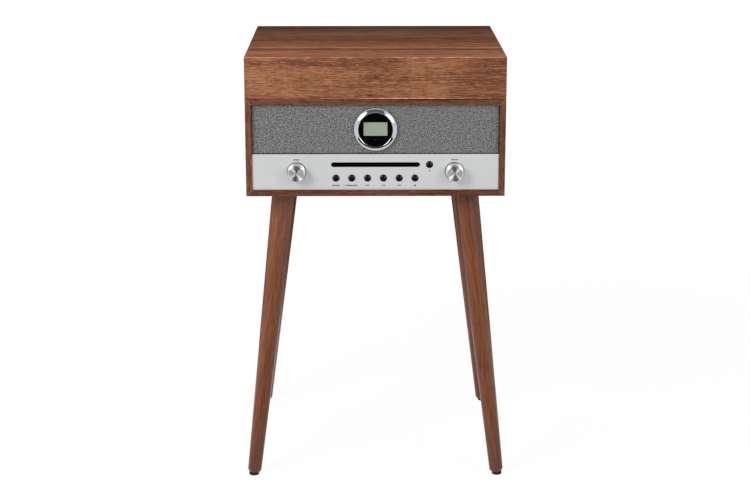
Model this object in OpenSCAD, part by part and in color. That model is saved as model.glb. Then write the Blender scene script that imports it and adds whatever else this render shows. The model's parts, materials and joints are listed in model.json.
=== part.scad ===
// Stereo music centre: a walnut case on four splayed legs, with a record deck under a hinged lid.
// Millimetres. The floor is z = 0, the front faces -Y, and the origin is at the middle of the box
// that holds the whole object.

/* [Case] */
// Width of the case
cab_w = 380; // [372:1:440]
// Depth of the case, from its front face to its rear face
cab_d = 350; // [344:1:400]
// Thickness of the boards
board_t = 9; // [8:0.5:11]
// Height of the case without its lid
case_h = 144.5; // [140:0.5:165]
// Depth of the front rail
rail_d = 14; // [11:0.5:16]
// Height of the rear rail
rear_rail_h = 30; // [24:1:36]
// Thickness of the back panel
back_t = 3; // [2.5:0.5:5]
// Width of the battens that carry the deck and the back panel
batten_w = 9; // [8:0.5:11]

/* [Lid] */
// Height of the lid
lid_h = 60.5; // [58:0.5:80]
// Gap between the case and the closed lid
seam_gap = 0.4; // [0.3:0.1:0.8]
// Radius of the hinge barrels
hinge_r = 3; // [2.6:0.1:3.6]
// Width of one hinge
hinge_w = 36; // [30:1:60]
// Distance of each hinge from the middle
hinge_x = 115; // [60:1:130]
// Thickness of the hinge leaves
leaf_t = 1.2; // [1:0.1:1.4]
// Distance of the stay's two pivots from the hinge line
stay_r = 50; // [46:0.5:52]
// Angle at which the lid stands open
lid_open = 68; // [50:1:70]
// Thickness of the stay arm
stay_t = 1.6; // [1.2:0.1:2]

/* [Legs] */
// Height of the underside of the case above the floor
leg_h = 438.5; // [300:1:520]
// Diameter of a leg at the case
leg_top_d = 36; // [32:0.5:40]
// Diameter of a leg at the foot
leg_foot_d = 20.6; // [18:0.2:26]
// Distance of a leg's axis from the side face, under the case
leg_in_x = 54; // [50:1:80]
// Distance of a leg's axis from the front or rear face, under the case
leg_in_y = 55.6; // [52:0.2:80]
// How far each foot stands out sideways
splay_x = 50.2; // [44:0.2:54]
// How far each foot stands out to the front or rear
splay_y = 50; // [40:0.5:54]
// Diameter of the foot pads
pad_d = 15; // [12:0.5:17]
// Height of the foot pads
pad_h = 4.5; // [3.5:0.1:6]
// Thickness of the leg plates
plate_t = 2.5; // [2:0.1:3.5]
// Width of the leg plates
plate_w = 62; // [60:1:70]

/* [Front] */
// Height of the control panel
panel_h = 53; // [51:0.5:56]
// Thickness of the control panel
panel_t = 2.5; // [2:0.1:3]
// How far the control panel lies behind the front face
panel_in = 2; // [1.5:0.1:2.5]
// How far the cloth lies behind the front face
cloth_in = 5; // [4:0.5:6]
// Thickness of the cloth
cloth_t = 1; // [0.8:0.1:1.4]
// Thickness of the baffle behind the cloth
baffle_t = 9; // [6:0.5:12]
// Outer radius of the display bezel
bezel_r = 32; // [29.5:0.1:33]
// Radius of the display lens
lens_r = 25.8; // [24:0.1:26.2]
// How far the bezel stands out of the cloth
bezel_out = 8; // [6:0.1:10]
// Length of the disc slot
slot_w = 130.4; // [126:0.2:134]
// Height of the disc slot
slot_h = 7; // [6:0.1:8]
// Height of the disc slot's middle above the foot of the panel
slot_z = 37.5; // [36:0.1:39]
// Radius of the buttons
button_r = 5.2; // [4.4:0.1:5.5]
// Spacing of the buttons in their row
button_pitch = 23.2; // [20:0.1:24]
// Height of the button row above the foot of the panel
button_z = 17.4; // [14:0.1:18]
// Distance of the eject button from the middle
eject_x = 79.2; // [79:0.1:82]
// Travel of the buttons
button_travel = 1; // [0.6:0.1:1.1]
// Distance of each knob from the middle
knob_x = 115.9; // [113:0.1:125]
// Height of the knobs above the foot of the panel
knob_z = 27.2; // [26:0.1:30]
// Radius of a knob's face
knob_r = 12.3; // [11.4:0.1:14]
// Radius of a knob's base ring
knob_base_r = 13.9; // [13:0.1:15.5]
// How far a knob stands out of the panel
knob_out = 17; // [15:0.5:22]
// Radius of the control shafts
shaft_r = 3; // [2.5:0.1:3.2]
// Distance of each loudspeaker from the middle
speaker_x = 112; // [96:1:125]
// Radius of the loudspeaker cones
speaker_r = 30; // [24:0.5:31]

/* [Deck] */
// How far the deck plate lies below the rim of the case
deck_in = 4; // [3:0.5:6]
// Thickness of the deck plate
deck_t = 3; // [2.5:0.1:4]
// Distance of the spindle from the middle, towards the left
spindle_x = 24; // [22:0.5:26]
// Radius of the spindle, for the standard record hole
spindle_r = 3.55; // [3.45:0.01:3.6]
// Radius of the platter
platter_r = 98; // [96:0.5:112]
// Height of the platter
platter_h = 12; // [11:0.5:14]
// Thickness of the slip mat
mat_t = 1.5; // [1:0.1:3]
// Distance of the tonearm's pivot from the right-hand board
arm_in = 41; // [39:0.5:45]
// Distance of the tonearm's pivot behind the spindle
arm_y = 88; // [82:0.5:92]
// Length of the straight tube in front of the pivot
arm_len = 160; // [156:0.5:164]
// Height of the tube above a record
arm_over = 13.5; // [13:0.1:15]
// Radius of the tonearm tube
tube_r = 3.5; // [3:0.1:4]
// Angle at which the headshell is turned inwards
head_angle = 22; // [18:0.5:24]
// Thickness of a record
record_t = 2; // [1.2:0.1:2.4]
// Distance of the cue lifter in front of the pivot
lifter_y = 55; // [52:0.5:62]
// How far the lifter rises
lifter_travel = 3.3; // [2.5:0.1:4]
// Distance of the two deck switches from the right-hand board
switch_in = 18; // [16:0.5:20]
// Distance of the cue lever from the right-hand board
lever_in = 23; // [22:0.5:24]

/* [Hidden] */
$fn = 96;

// Clearances
fit_gap = 0.3;      // between pieces that are laid into each other
run_gap = 0.05;     // radial, between a shaft and its bore
cut = 1;            // how far a cutting shape runs past what it cuts
fuse = 1;           // how far the shapes of one piece run into each other

// Levels above the floor
z_case = leg_h;
z_floor = z_case + board_t;
z_seam = z_case + case_h;
z_lid = z_seam + seam_gap;
z_top = z_lid + lid_h;
z_rail = z_seam - board_t;
z_rear_rail = z_seam - rear_rail_h;
z_deck = z_seam - deck_in;
z_deck_low = z_deck - deck_t;

// Depths: what stands out of the front and rear faces decides where the faces lie
hinge_gap = 0.3;
fore = knob_out - panel_in;
aft = hinge_gap + 2 * hinge_r;
y_front = fore - (fore + cab_d + aft) / 2;
y_back = y_front + cab_d;
y_panel = y_front + panel_in;
y_panel_back = y_panel + panel_t;
y_cloth = y_front + cloth_in;
y_baffle = y_cloth + cloth_t;
y_baffle_back = y_baffle + baffle_t;
y_rear_panel = y_back - board_t;
y_batten = y_rear_panel - back_t;
y_middle = (y_front + y_back) / 2;
in_x = cab_w / 2 - board_t;

// Front bands
z_panel = z_floor + fit_gap;
z_panel_top = z_panel + panel_h;
cloth_gap = 0.9;
z_cloth = z_panel_top + cloth_gap;
z_cloth_top = z_rail - fit_gap;
z_display = (z_cloth + z_cloth_top) / 2;
z_slot = z_panel + slot_z;
z_button = z_panel + button_z;
z_knob = z_panel + knob_z;

// A polygon of [y, z] points carried from x0 to x1
module along_x(x0, x1) {
    translate([x0, 0, 0]) rotate([90, 0, 90]) linear_extrude(x1 - x0) children();
}

// A polygon of [x, z] points carried from y0 to y1
module along_y(y0, y1) {
    translate([0, y1, 0]) rotate([90, 0, 0]) linear_extrude(y1 - y0) children();
}

// A polygon of [x, y] points carried from z0 to z1
module along_z(z0, z1) {
    translate([0, 0, z0]) linear_extrude(z1 - z0) children();
}

module box(x, y, z) {
    translate([x[0], y[0], z[0]]) cube([x[1] - x[0], y[1] - y[0], z[1] - z[0]]);
}

// A round bar along Y, from y0 to y1
module bar_y(x, z, y0, y1, r) {
    translate([x, y1, z]) rotate([90, 0, 0]) cylinder(r = r, h = y1 - y0);
}

// A turned piece whose profile of [radius, distance] is measured from y towards the front
module turned_forward(x, y, z, profile) {
    translate([x, y, z]) rotate([90, 0, 0]) rotate_extrude() polygon(profile);
}

// Two rounds joined by a bar, in the plane
module stadium(length, width) {
    reach = (length - width) / 2;
    for (side = [-1, 1]) translate([side * reach, 0]) circle(d = width);
    square([2 * reach, width], center = true);
}

module both_sides() {
    children();
    mirror([1, 0, 0]) children();
}

// Case
module bottom_board() color("#7a5240") difference() {
    union() {
        along_y(y_front, y_back) polygon([[-cab_w / 2, z_case], [cab_w / 2, z_case],
            [in_x, z_floor], [-in_x, z_floor]]);
        box([-in_x + 30, in_x - 30], [y_batten - batten_w, y_batten], [z_floor - fuse, z_floor + batten_w]);
    }
    back_screw_holes();
    plate_screw_holes();
}

// A side board, mitred to the bottom board and, at the front, to the rail
module side_board() {
    difference() {
        along_y(y_front, y_back) polygon([[cab_w / 2, z_case], [cab_w / 2, z_seam],
            [in_x, z_seam], [in_x, z_floor]]);
        along_y(y_front - cut, y_front + rail_d) polygon([[cab_w / 2 + cut, z_seam + cut],
            [in_x - cut, z_seam + cut], [in_x - cut, z_rail - cut]]);
    }
    box([in_x - batten_w, in_x + fuse], [y_batten - batten_w, y_batten], [z_floor + batten_w, z_batten_top]);
}

ledge_y = y_front + rail_d + 12;
module deck_ledge(y_end) {
    box([in_x - batten_w, in_x + fuse], [ledge_y, y_end], [z_deck_low - batten_w, z_deck_low]);
}

module side_boards() color("#865a45") difference() {
    union() {
        both_sides() side_board();
        deck_ledge(stay_notch_y - 4);
        mirror([1, 0, 0]) deck_ledge(y_back - 40);
    }
    back_screw_holes();
}

module top_rails() color("#6f4735") {
    along_y(y_front, y_front + rail_d) polygon([[-in_x, z_rail], [in_x, z_rail],
        [cab_w / 2, z_seam], [-cab_w / 2, z_seam]]);
    difference() {
        union() {
            box([-in_x, in_x], [y_rear_panel, y_back], [z_rear_rail, z_seam]);
            box([-in_x + 20, in_x - 20], [y_batten - batten_w, y_rear_panel + fuse],
                [z_rear_rail, z_rear_rail + 10]);
            box([-in_x + 20, in_x - 20], [y_batten - batten_w, y_batten],
                [z_rear_rail - batten_w, z_rear_rail + fuse]);
        }
        hinge_mortises(z_hinge - leaf_play - leaf_t - 0.1, z_seam + cut);
        back_screw_holes();
    }
}

// Back panel, its screws and its openings
z_batten_top = z_floor + 64;
screw_len = 8;
screw_r = 1.5;
screw_head_r = 3;
screw_head_h = 1.6;
inlet_x = 76 - in_x;
inlet_z = z_floor + 38;
inlet_w = 44;
inlet_h = 24;
jack_x = in_x - 111;
jack_z = z_floor + 38;
jack_pitch = 16;
jack_r = 4.15;

back_screw_pitch = 2 * (in_x - 31) / 3;
back_screw_points = concat(
    [for (i = [-1.5 : 1.5]) [i * back_screw_pitch, z_floor + batten_w / 2]],
    [for (i = [-1.5 : 1.5]) [i * back_screw_pitch, z_rear_rail - batten_w / 2]],
    [for (side = [-1, 1]) [side * (in_x - batten_w / 2), z_batten_top - 12]]);

module back_screw_holes() {
    for (p = back_screw_points) bar_y(p[0], p[1], y_rear_panel - screw_len, y_rear_panel + cut, screw_r);
}

module back_panel() color("#2b2624") difference() {
    box([-in_x + fit_gap, in_x - fit_gap], [y_batten, y_rear_panel],
        [z_floor + fit_gap, z_rear_rail - fit_gap]);
    back_screw_holes();
    box([inlet_x - inlet_w / 2, inlet_x + inlet_w / 2], [y_batten - cut, y_rear_panel + cut],
        [inlet_z - inlet_h / 2, inlet_z + inlet_h / 2]);
    for (side = [-1, 1])
        bar_y(jack_x + side * jack_pitch / 2, jack_z, y_batten - cut, y_rear_panel + cut, jack_r + fit_gap);
    for (i = [-5 : 5])
        translate([0, y_rear_panel + cut, z_floor + 88]) rotate([90, 0, 0])
            linear_extrude(back_t + 2 * cut) translate([i * 7, 0]) rotate(90) stadium(24, 2.6);
}

// Leg plates under the case
leg_tilt = atan2(norm([splay_x, splay_y]), leg_h);
leg_length = leg_h / cos(leg_tilt);
leg_turn = atan2(splay_y, splay_x);
seat_depth = plate_t + tan(leg_tilt) * (leg_top_d / 2 + 1) + 1;
stud_r = 4;
stud_len = 22;
plate_screw_at = plate_w / 2 - 6;

// Places its children on each leg's axis, with z = 0 in the underside of the case
module on_legs() {
    for (sx = [-1, 1]) for (sy = [-1, 1])
        translate([sx * (cab_w / 2 - leg_in_x), y_middle + sy * (cab_d / 2 - leg_in_y), z_case])
            rotate([0, 0, atan2(sy * splay_y, sx * splay_x)]) rotate([0, -leg_tilt, 0]) children();
}

// Places its children square to the case at each plate screw
module on_plate_screws() {
    for (sx = [-1, 1]) for (sy = [-1, 1])
        translate([sx * (cab_w / 2 - leg_in_x), y_middle + sy * (cab_d / 2 - leg_in_y), z_case])
            for (u = [-1, 1]) for (v = [-1, 1])
                translate([u * plate_screw_at, v * plate_screw_at, 0]) children();
}

module plate_screw_holes() {
    on_plate_screws() translate([0, 0, -plate_t - cut]) cylinder(r = screw_r, h = screw_len - 0.5 + cut);
}

module leg_plates() color("#4a4a4c") difference() {
    union() {
        intersection() {
            on_legs() translate([0, 0, -seat_depth]) cylinder(r = leg_top_d / 2, h = 2 * seat_depth);
            box([-cab_w, cab_w], [-cab_d, cab_d], [0, z_case]);
        }
        for (sx = [-1, 1]) for (sy = [-1, 1])
            translate([sx * (cab_w / 2 - leg_in_x), y_middle + sy * (cab_d / 2 - leg_in_y), z_case - plate_t])
                linear_extrude(plate_t) rounded_square(plate_w, 6);
        on_legs() translate([0, 0, -seat_depth - stud_len]) cylinder(r = stud_r, h = stud_len + 1);
    }
    plate_screw_holes();
}

module rounded_square(width, r) {
    reach = width / 2 - r;
    for (u = [-1, 1]) for (v = [-1, 1]) translate([u * reach, v * reach]) circle(r = r);
    square([width, 2 * reach], center = true);
    square([2 * reach, width], center = true);
}

// A pan-head screw with its point down and the underside of its head at z = 0
module screw() {
    rotate_extrude($fn = 32) polygon([[0, -screw_len + 0.5], [screw_r, -screw_len + 2], [screw_r, 0],
        [screw_head_r, 0], [screw_head_r, screw_head_h / 2], [screw_head_r * 0.7, screw_head_h],
        [0, screw_head_h]]);
}

module wood_screws() color("#1f1f20") {
    on_plate_screws() translate([0, 0, -plate_t]) rotate([180, 0, 0]) screw();
    for (p = back_screw_points) translate([p[0], y_rear_panel, p[1]]) rotate([-90, 0, 0]) screw();
}

// Legs: a straight taper, a small chamfer at the foot, and a bore for the plate's stud
chamfer_h = 3.6;
chamfer_in = 2.4;
module legs() color("#6b4433") intersection() {
    on_legs() rotate_extrude() polygon([[0, -leg_length], [leg_foot_d / 2 - chamfer_in, -leg_length],
        [leg_foot_d / 2 - chamfer_in, -leg_length + pad_h - 0.6],
        [leg_foot_d / 2, -leg_length + pad_h + chamfer_h], [leg_top_d / 2, -seat_depth],
        [stud_r, -seat_depth], [stud_r, -seat_depth - stud_len], [0, -seat_depth - stud_len]]);
    box([-cab_w, cab_w], [-cab_d, cab_d], [pad_h, z_case]);
}

module foot_pads() color("#161616") {
    for (sx = [-1, 1]) for (sy = [-1, 1])
        translate([sx * (cab_w / 2 - leg_in_x + splay_x), y_middle + sy * (cab_d / 2 - leg_in_y + splay_y), 0])
            rotate_extrude() polygon([[0, 0], [pad_d / 2 - 0.6, 0], [pad_d / 2, 0.6], [pad_d / 2, pad_h],
                [0, pad_h]]);
}

// Lid boards, mitred along every edge that they share
module plan_x() along_z(z_lid, z_top) polygon([[cab_w / 2, y_front], [cab_w / 2, y_back],
    [in_x, y_back - board_t], [in_x, y_front + board_t]]);

module section_front() along_x(-cab_w / 2, cab_w / 2) polygon([[y_front, z_lid],
    [y_front + board_t, z_lid], [y_front + board_t, z_top - board_t], [y_front, z_top]]);

module plan_front() along_z(z_lid, z_top) polygon([[-cab_w / 2, y_front], [cab_w / 2, y_front],
    [in_x, y_front + board_t], [-in_x, y_front + board_t]]);

module lid_top() color("#73503f") intersection() {
    along_y(y_front, y_back) polygon([[-cab_w / 2, z_top], [cab_w / 2, z_top],
        [in_x, z_top - board_t], [-in_x, z_top - board_t]]);
    along_x(-cab_w / 2, cab_w / 2) polygon([[y_front, z_top], [y_back, z_top],
        [y_back - board_t, z_top - board_t], [y_front + board_t, z_top - board_t]]);
}

module lid_front() color("#8d5b42") intersection() {
    plan_front();
    section_front();
}

module lid_back() color("#7d5340") difference() {
    translate([0, 2 * y_middle, 0]) mirror([0, 1, 0]) intersection() {
        plan_front();
        section_front();
    }
    hinge_mortises(z_lid - cut, z_hinge + leaf_play + leaf_t + 0.1);
}

module lid_sides() color("#7d5340") both_sides() intersection() {
    plan_x();
    along_y(y_front, y_back) polygon([[cab_w / 2, z_lid], [cab_w / 2, z_top],
        [in_x, z_top - board_t], [in_x, z_lid]]);
}

// Hinges: leaves let into the boards at the seam, barrels behind the rear face
y_hinge = y_back + hinge_gap + hinge_r;
z_hinge = z_seam + seam_gap / 2;
leaf_play = 0.15;
leaf_d = 7.6;
pin_r = 1.5;
barrel_gap = 0.2;
barrel_w = hinge_w / 3;

module hinge_mortises(z0, z1) {
    for (side = [-1, 1])
        box([side * hinge_x - hinge_w / 2 - 0.2, side * hinge_x + hinge_w / 2 + 0.2],
            [y_back - leaf_d - 0.2, y_back + cut], [z0, z1]);
}

// One leaf with its barrels: dir is 1 for the lid's and -1 for the case's
module hinge_leaf(dir, spans) {
    low = dir > 0 ? z_hinge + leaf_play : z_hinge - leaf_play - leaf_t;
    box([-hinge_w / 2, hinge_w / 2], [y_back - leaf_d, y_back], [low, low + leaf_t]);
    for (s = spans) {
        box(s, [y_back - 0.5, y_hinge], [low, low + leaf_t]);
        hinge_rod(s[0], s[1], hinge_r);
    }
}

module hinge_rod(x0, x1, r) {
    translate([x0, y_hinge, z_hinge]) rotate([0, 90, 0]) cylinder(r = r, h = x1 - x0);
}

// The case's leaf holds the pin; the lid's barrels turn on its two ends
module case_hinge_leaves() color("#9a8050") for (side = [-1, 1]) translate([side * hinge_x, 0, 0]) {
    hinge_leaf(-1, [[-barrel_w / 2 + barrel_gap, barrel_w / 2 - barrel_gap]]);
    hinge_rod(-hinge_w / 2, hinge_w / 2, pin_r);
}

module lid_hinge_leaves() color("#9a8050") for (side = [-1, 1]) translate([side * hinge_x, 0, 0])
    difference() {
        hinge_leaf(1, [[-hinge_w / 2, -barrel_w / 2], [barrel_w / 2, hinge_w / 2]]);
        hinge_rod(-hinge_w / 2 - cut, hinge_w / 2 + cut, pin_r + run_gap);
    }

// Lid stay. Its two pivots lie on one circle round the hinge line, so the arm turns by exactly
// half of the lid's angle, as an angle at the rim of a circle is half of the angle at its centre.
stay_low = 60;
stay_high = 8;
stay_a = [y_hinge - stay_r * cos(stay_low), z_hinge - stay_r * sin(stay_low)];
stay_p = [y_hinge - stay_r * cos(stay_high), z_hinge + stay_r * sin(stay_high)];
stay_turn = atan2(stay_p[1] - stay_a[1], stay_p[0] - stay_a[0]);
stay_shut = 2 * stay_r * sin((stay_low + stay_high) / 2);
stay_wide = 2 * stay_r * sin((stay_low + stay_high + lid_open) / 2);
stay_stud_r = 2.5;
stay_slot_r = stay_stud_r + 0.1;
stay_w = 9;
stay_base_t = 1.5;
stay_head_t = 1.5;
stay_side = 0.3;
x_stay = in_x - stay_base_t - stay_side - stay_t;
stay_notch_y = stay_p[0] - 2;

module stay_arm() color("#a8a8aa") along_x(x_stay, x_stay + stay_t)
    translate(stay_a) rotate(stay_turn) difference() {
        union() {
            circle(d = stay_w);
            translate([0, -stay_w / 2]) square([stay_wide, stay_w]);
            translate([stay_wide, 0]) circle(d = stay_w);
        }
        circle(r = stay_stud_r + run_gap);
        for (u = [stay_shut, stay_wide]) translate([u, 0]) circle(r = stay_slot_r);
        translate([stay_shut, -stay_slot_r]) square([stay_wide - stay_shut, 2 * stay_slot_r]);
    }

// A riveted stud on the inner face of the right-hand board, at [y, z]
module stay_rivet(place) {
    shank = stay_base_t + 2 * stay_side + stay_t;
    translate([in_x, place[0], place[1]]) rotate([0, -90, 0]) rotate_extrude() polygon([[0, 0], [6, 0],
        [6, stay_base_t], [stay_stud_r, stay_base_t], [stay_stud_r, shank], [4, shank],
        [3.4, shank + stay_head_t], [0, shank + stay_head_t]]);
}

module stay_pivot() color("#8f8f92") stay_rivet(stay_a);

module stay_stud() color("#8f8f92") stay_rivet(stay_p);

// Record deck
y_spindle = y_middle;
arm_x = in_x - arm_in;
z_platter = z_deck + 1;
z_mat = z_platter + platter_h;
z_disc = z_mat + mat_t;
z_play = z_disc + record_t;
z_arm = z_play + arm_over;
ring_r = 60;
ring_t = 2;
pulley_r = 4;
pulley_at = 78;
pulley_turn = 140;
belt_t = 0.8;
belt_w = 4;
belt_gap = 0.12;
bearing_r = 8;
bearing_h = 18;
y_arm = y_spindle + arm_y;
motor_r = 16;
motor_h = 22;
pulley_x = -spindle_x + pulley_at * cos(pulley_turn);
pulley_y = y_spindle + pulley_at * sin(pulley_turn);
rest_y = y_arm - 118;
switch_x = in_x - switch_in;
speed_y = y_spindle - 48;
stop_y = y_spindle - 84;
speed_travel = 12;
stop_travel = 6;
lever_x = in_x - lever_in;
lever_y = y_arm - lifter_y + 6;
lever_z = z_deck + 7;
lever_r = 3.4;
lifter_at = 5;
lifter_r = 2.5;
z_sleeve = z_deck_low - 8;

function turn(a) = [cos(a), sin(a)];

function arm_point(r, a) = [arm_x - r * sin(a), y_arm - r * cos(a)];

module deck_outline() {
    difference() {
        translate([-in_x + fit_gap, y_front + rail_d + fit_gap])
            square([2 * (in_x - fit_gap), y_rear_panel - y_front - rail_d - 2 * fit_gap]);
        translate([x_stay - stay_side - stay_head_t - 1.2, stay_notch_y])
            square([board_t + stay_w, y_rear_panel - stay_notch_y]);
    }
}

module deck_plate() color("#1d1c1c") difference() {
    union() {
        along_z(z_deck_low, z_deck) deck_outline();
        translate([-spindle_x, y_spindle, z_deck_low - bearing_h])
            cylinder(r = bearing_r, h = bearing_h + deck_t);
        translate([-spindle_x, y_spindle, z_deck]) rotate_extrude() polygon([[platter_r + 3, -fuse],
            [platter_r + 7, -fuse], [platter_r + 7, 0], [platter_r + 6, 1.5], [platter_r + 4, 1.5],
            [platter_r + 3, 0]]);
        // Ears that carry the cue lever
        for (x = [lever_x - 8, lever_x + 5]) along_x(x, x + 3) {
            translate([lever_y, lever_z]) circle(r = lever_r + 1.6);
            translate([lever_y - lever_r - 1.6, z_deck - fuse])
                square([2 * lever_r + 3.2, lever_z - z_deck + fuse]);
        }
        translate(concat(arm_point(lifter_y, lifter_at), z_sleeve))
            cylinder(r = lifter_r + 3, h = z_deck + 2 - z_sleeve);
    }
    translate([-spindle_x, y_spindle, z_deck_low - bearing_h - cut])
        cylinder(r = spindle_r + run_gap, h = bearing_h + deck_t + 2 * cut);
    translate([pulley_x, pulley_y, z_deck_low - cut]) cylinder(r = pulley_r + 3, h = deck_t + 2 * cut);
    translate([arm_x, y_arm, z_deck_low - cut]) cylinder(r = 11 + fit_gap, h = deck_t + 2 * cut);
    translate(concat(arm_point(lifter_y, lifter_at), z_sleeve - cut))
        cylinder(r = lifter_r + run_gap, h = z_deck + 2 - z_sleeve + 2 * cut);
    translate([lever_x - 8 - cut, lever_y, lever_z]) rotate([0, 90, 0])
        cylinder(r = 2 + run_gap, h = 16 + 2 * cut);
    switch_slot(speed_y, speed_travel);
    switch_slot(stop_y, stop_travel);
}

// Arm rest: a shelf under the tube with a cheek outside it
rest_w = 8;
rest_wall = 2.7;
module arm_rest() color("#1d1c1c") {
    outer = arm_x + tube_r + fit_gap + rest_wall;
    box([arm_x - tube_r - 1, outer], [rest_y - rest_w / 2, rest_y + rest_w / 2],
        [z_deck, z_arm - tube_r - fit_gap]);
    box([outer - rest_wall, outer], [rest_y - rest_w / 2, rest_y + rest_w / 2], [z_deck, z_arm + 2]);
}

slider_l = 5;
module switch_slot(y, travel) {
    box([switch_x - 2.2, switch_x + 2.2], [y - slider_l / 2 - 0.3, y + slider_l / 2 + travel + 0.3],
        [z_deck_low - cut, z_deck + cut]);
}

// Platter: a rim, a deck, a belt ring and a hub in one moulding
module platter() color("#262626") translate([-spindle_x, y_spindle, z_platter]) {
    hub_r = 9;
    skin = 2.5;
    rotate_extrude($fn = 180) polygon([[spindle_r, 0], [hub_r, 0], [hub_r, platter_h - skin],
        [ring_r - ring_t, platter_h - skin], [ring_r - ring_t, 1], [ring_r, 1],
        [ring_r, platter_h - skin], [platter_r - 3, platter_h - skin], [platter_r - 2.4, 0],
        [platter_r - 1, 0], [platter_r, 1], [platter_r, platter_h - 1], [platter_r - 1, platter_h],
        [spindle_r, platter_h]]);
}

module slip_mat() color("#4b4b4d") translate([-spindle_x, y_spindle, z_mat]) rotate_extrude($fn = 180)
    polygon([[spindle_r + 0.2, 0], [platter_r - 3, 0], [platter_r - 2.6, 0.4],
        [platter_r - 2.6, mat_t - 0.4], [platter_r - 3, mat_t], [spindle_r + 0.2, mat_t]]);

// The spindle has a shallow neck inside the mat, under the length that a record's hole slides on
spindle_free = 13;
neck_in = 0.3;
module platter_spindle() color("#c8c8ca") translate([-spindle_x, y_spindle, 0]) rotate_extrude()
    polygon(concat([[0, z_deck_low - bearing_h - 2], [spindle_r - 0.5, z_deck_low - bearing_h - 2],
        [spindle_r, z_deck_low - bearing_h - 1.5], [spindle_r, z_mat], [spindle_r - neck_in, z_mat + neck_in],
        [spindle_r - neck_in, z_disc], [spindle_r, z_disc + neck_in]], [for (a = [0 : 15 : 90])
        [spindle_r * cos(a), z_disc + spindle_free + 2.5 * sin(a)]]));

// The outline round ring and pulley: two arcs, joined by the straights that touch both
module belt_plan(grow) {
    leave = acos((ring_r - pulley_r) / pulley_at);
    rotate(pulley_turn) polygon(concat(
        [for (i = [0 : 56]) (ring_r + grow) * turn(leave + (360 - 2 * leave) * i / 56)],
        [for (i = [0 : 14]) [pulley_at, 0] + (pulley_r + grow) * turn(-leave + 2 * leave * i / 14)]));
}

module drive_belt() color("#101010") translate([-spindle_x, y_spindle, z_platter + 1.5])
    difference() {
        linear_extrude(belt_w) belt_plan(belt_gap + belt_t);
        translate([0, 0, -cut]) linear_extrude(belt_w + 2 * cut) belt_plan(belt_gap);
    }

motor_shaft_r = 1;
module motor_pulley() color("#c9a24a") translate([pulley_x, pulley_y, z_platter]) rotate_extrude()
    polygon([[0, -deck_t - 8], [motor_shaft_r, -deck_t - 8], [motor_shaft_r, 0], [pulley_r + 1, 0],
        [pulley_r + 1, 0.8], [pulley_r, 1.2], [pulley_r, 5.8], [pulley_r + 1, 6.2], [pulley_r + 1, 7],
        [0, 7]]);

module turntable_motor() color("#7e7f82") translate([pulley_x, pulley_y, z_deck_low]) difference() {
    rotate_extrude() polygon([[0, -motor_h], [motor_r - 1, -motor_h], [motor_r, 1 - motor_h],
        [motor_r, -1], [motor_r - 1, 0], [0, 0]]);
    translate([0, 0, -10]) cylinder(r = motor_shaft_r + run_gap, h = 10 + cut);
}

// Tonearm
yoke_post_r = 4;
base_h = 13;
yoke_ear_x = 8;
yoke_ear_t = 2.5;
pivot_r = 1.5;
module tonearm_base() color("#2a2a2b") translate([arm_x, y_arm, 0]) rotate_extrude() polygon([
    [yoke_post_r + run_gap, z_deck_low - 6], [11, z_deck_low - 6], [11, z_deck], [18, z_deck],
    [18, z_deck + 2], [14.5, z_deck + 3.5], [13.5, z_deck + base_h], [yoke_post_r + run_gap, z_deck + base_h]]);

module tonearm_yoke() color("#8d8e90") translate([arm_x, y_arm, 0]) {
    low = z_deck + base_h + fit_gap;
    difference() {
        union() {
            translate([0, 0, z_deck_low - 4]) cylinder(r = yoke_post_r, h = low - z_deck_low + 4 + 1);
            translate([0, 0, low]) cylinder(r = 12.5, h = 3);
            for (side = [-1, 1]) along_x(side * yoke_ear_x - yoke_ear_t / 2, side * yoke_ear_x + yoke_ear_t / 2) {
                translate([0, z_arm]) circle(r = 5.5);
                translate([-5.5, low + 1]) square([11, z_arm - low - 1]);
            }
        }
        translate([-yoke_ear_x - yoke_ear_t, 0, z_arm]) rotate([0, 90, 0])
            cylinder(r = pivot_r + run_gap, h = 2 * (yoke_ear_x + yoke_ear_t));
    }
}

// The tube with its pivot block and pivot pin
arm_tail = 30;
pin_reach = 9.2;
module tonearm_tube() color("#b6b7ba") translate([arm_x, y_arm, z_arm]) {
    rotate([90, 0, 0]) cylinder(r = tube_r, h = arm_len);
    rotate([-90, 0, 0]) cylinder(r = tube_r, h = arm_tail);
    translate([-pin_reach, 0, 0]) rotate([0, 90, 0]) cylinder(r = pivot_r, h = 2 * pin_reach);
    along_x(-5.6, 5.6) rounded_square(11, 2.5);
}

weight_at = 13;
weight_r = 10;
weight_l = 14;
module counterweight() color("#303032") translate([arm_x, y_arm + weight_at, z_arm]) rotate([-90, 0, 0])
    rotate_extrude() polygon([[tube_r, 0], [weight_r - 0.8, 0], [weight_r, 0.8], [weight_r, weight_l - 0.8],
        [weight_r - 0.8, weight_l], [tube_r, weight_l]]);

// The head turns inwards at the end of the tube; y runs backwards along the head
module on_head() {
    translate([arm_x, y_arm - arm_len, z_arm]) rotate([0, 0, -head_angle]) children();
}

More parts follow.
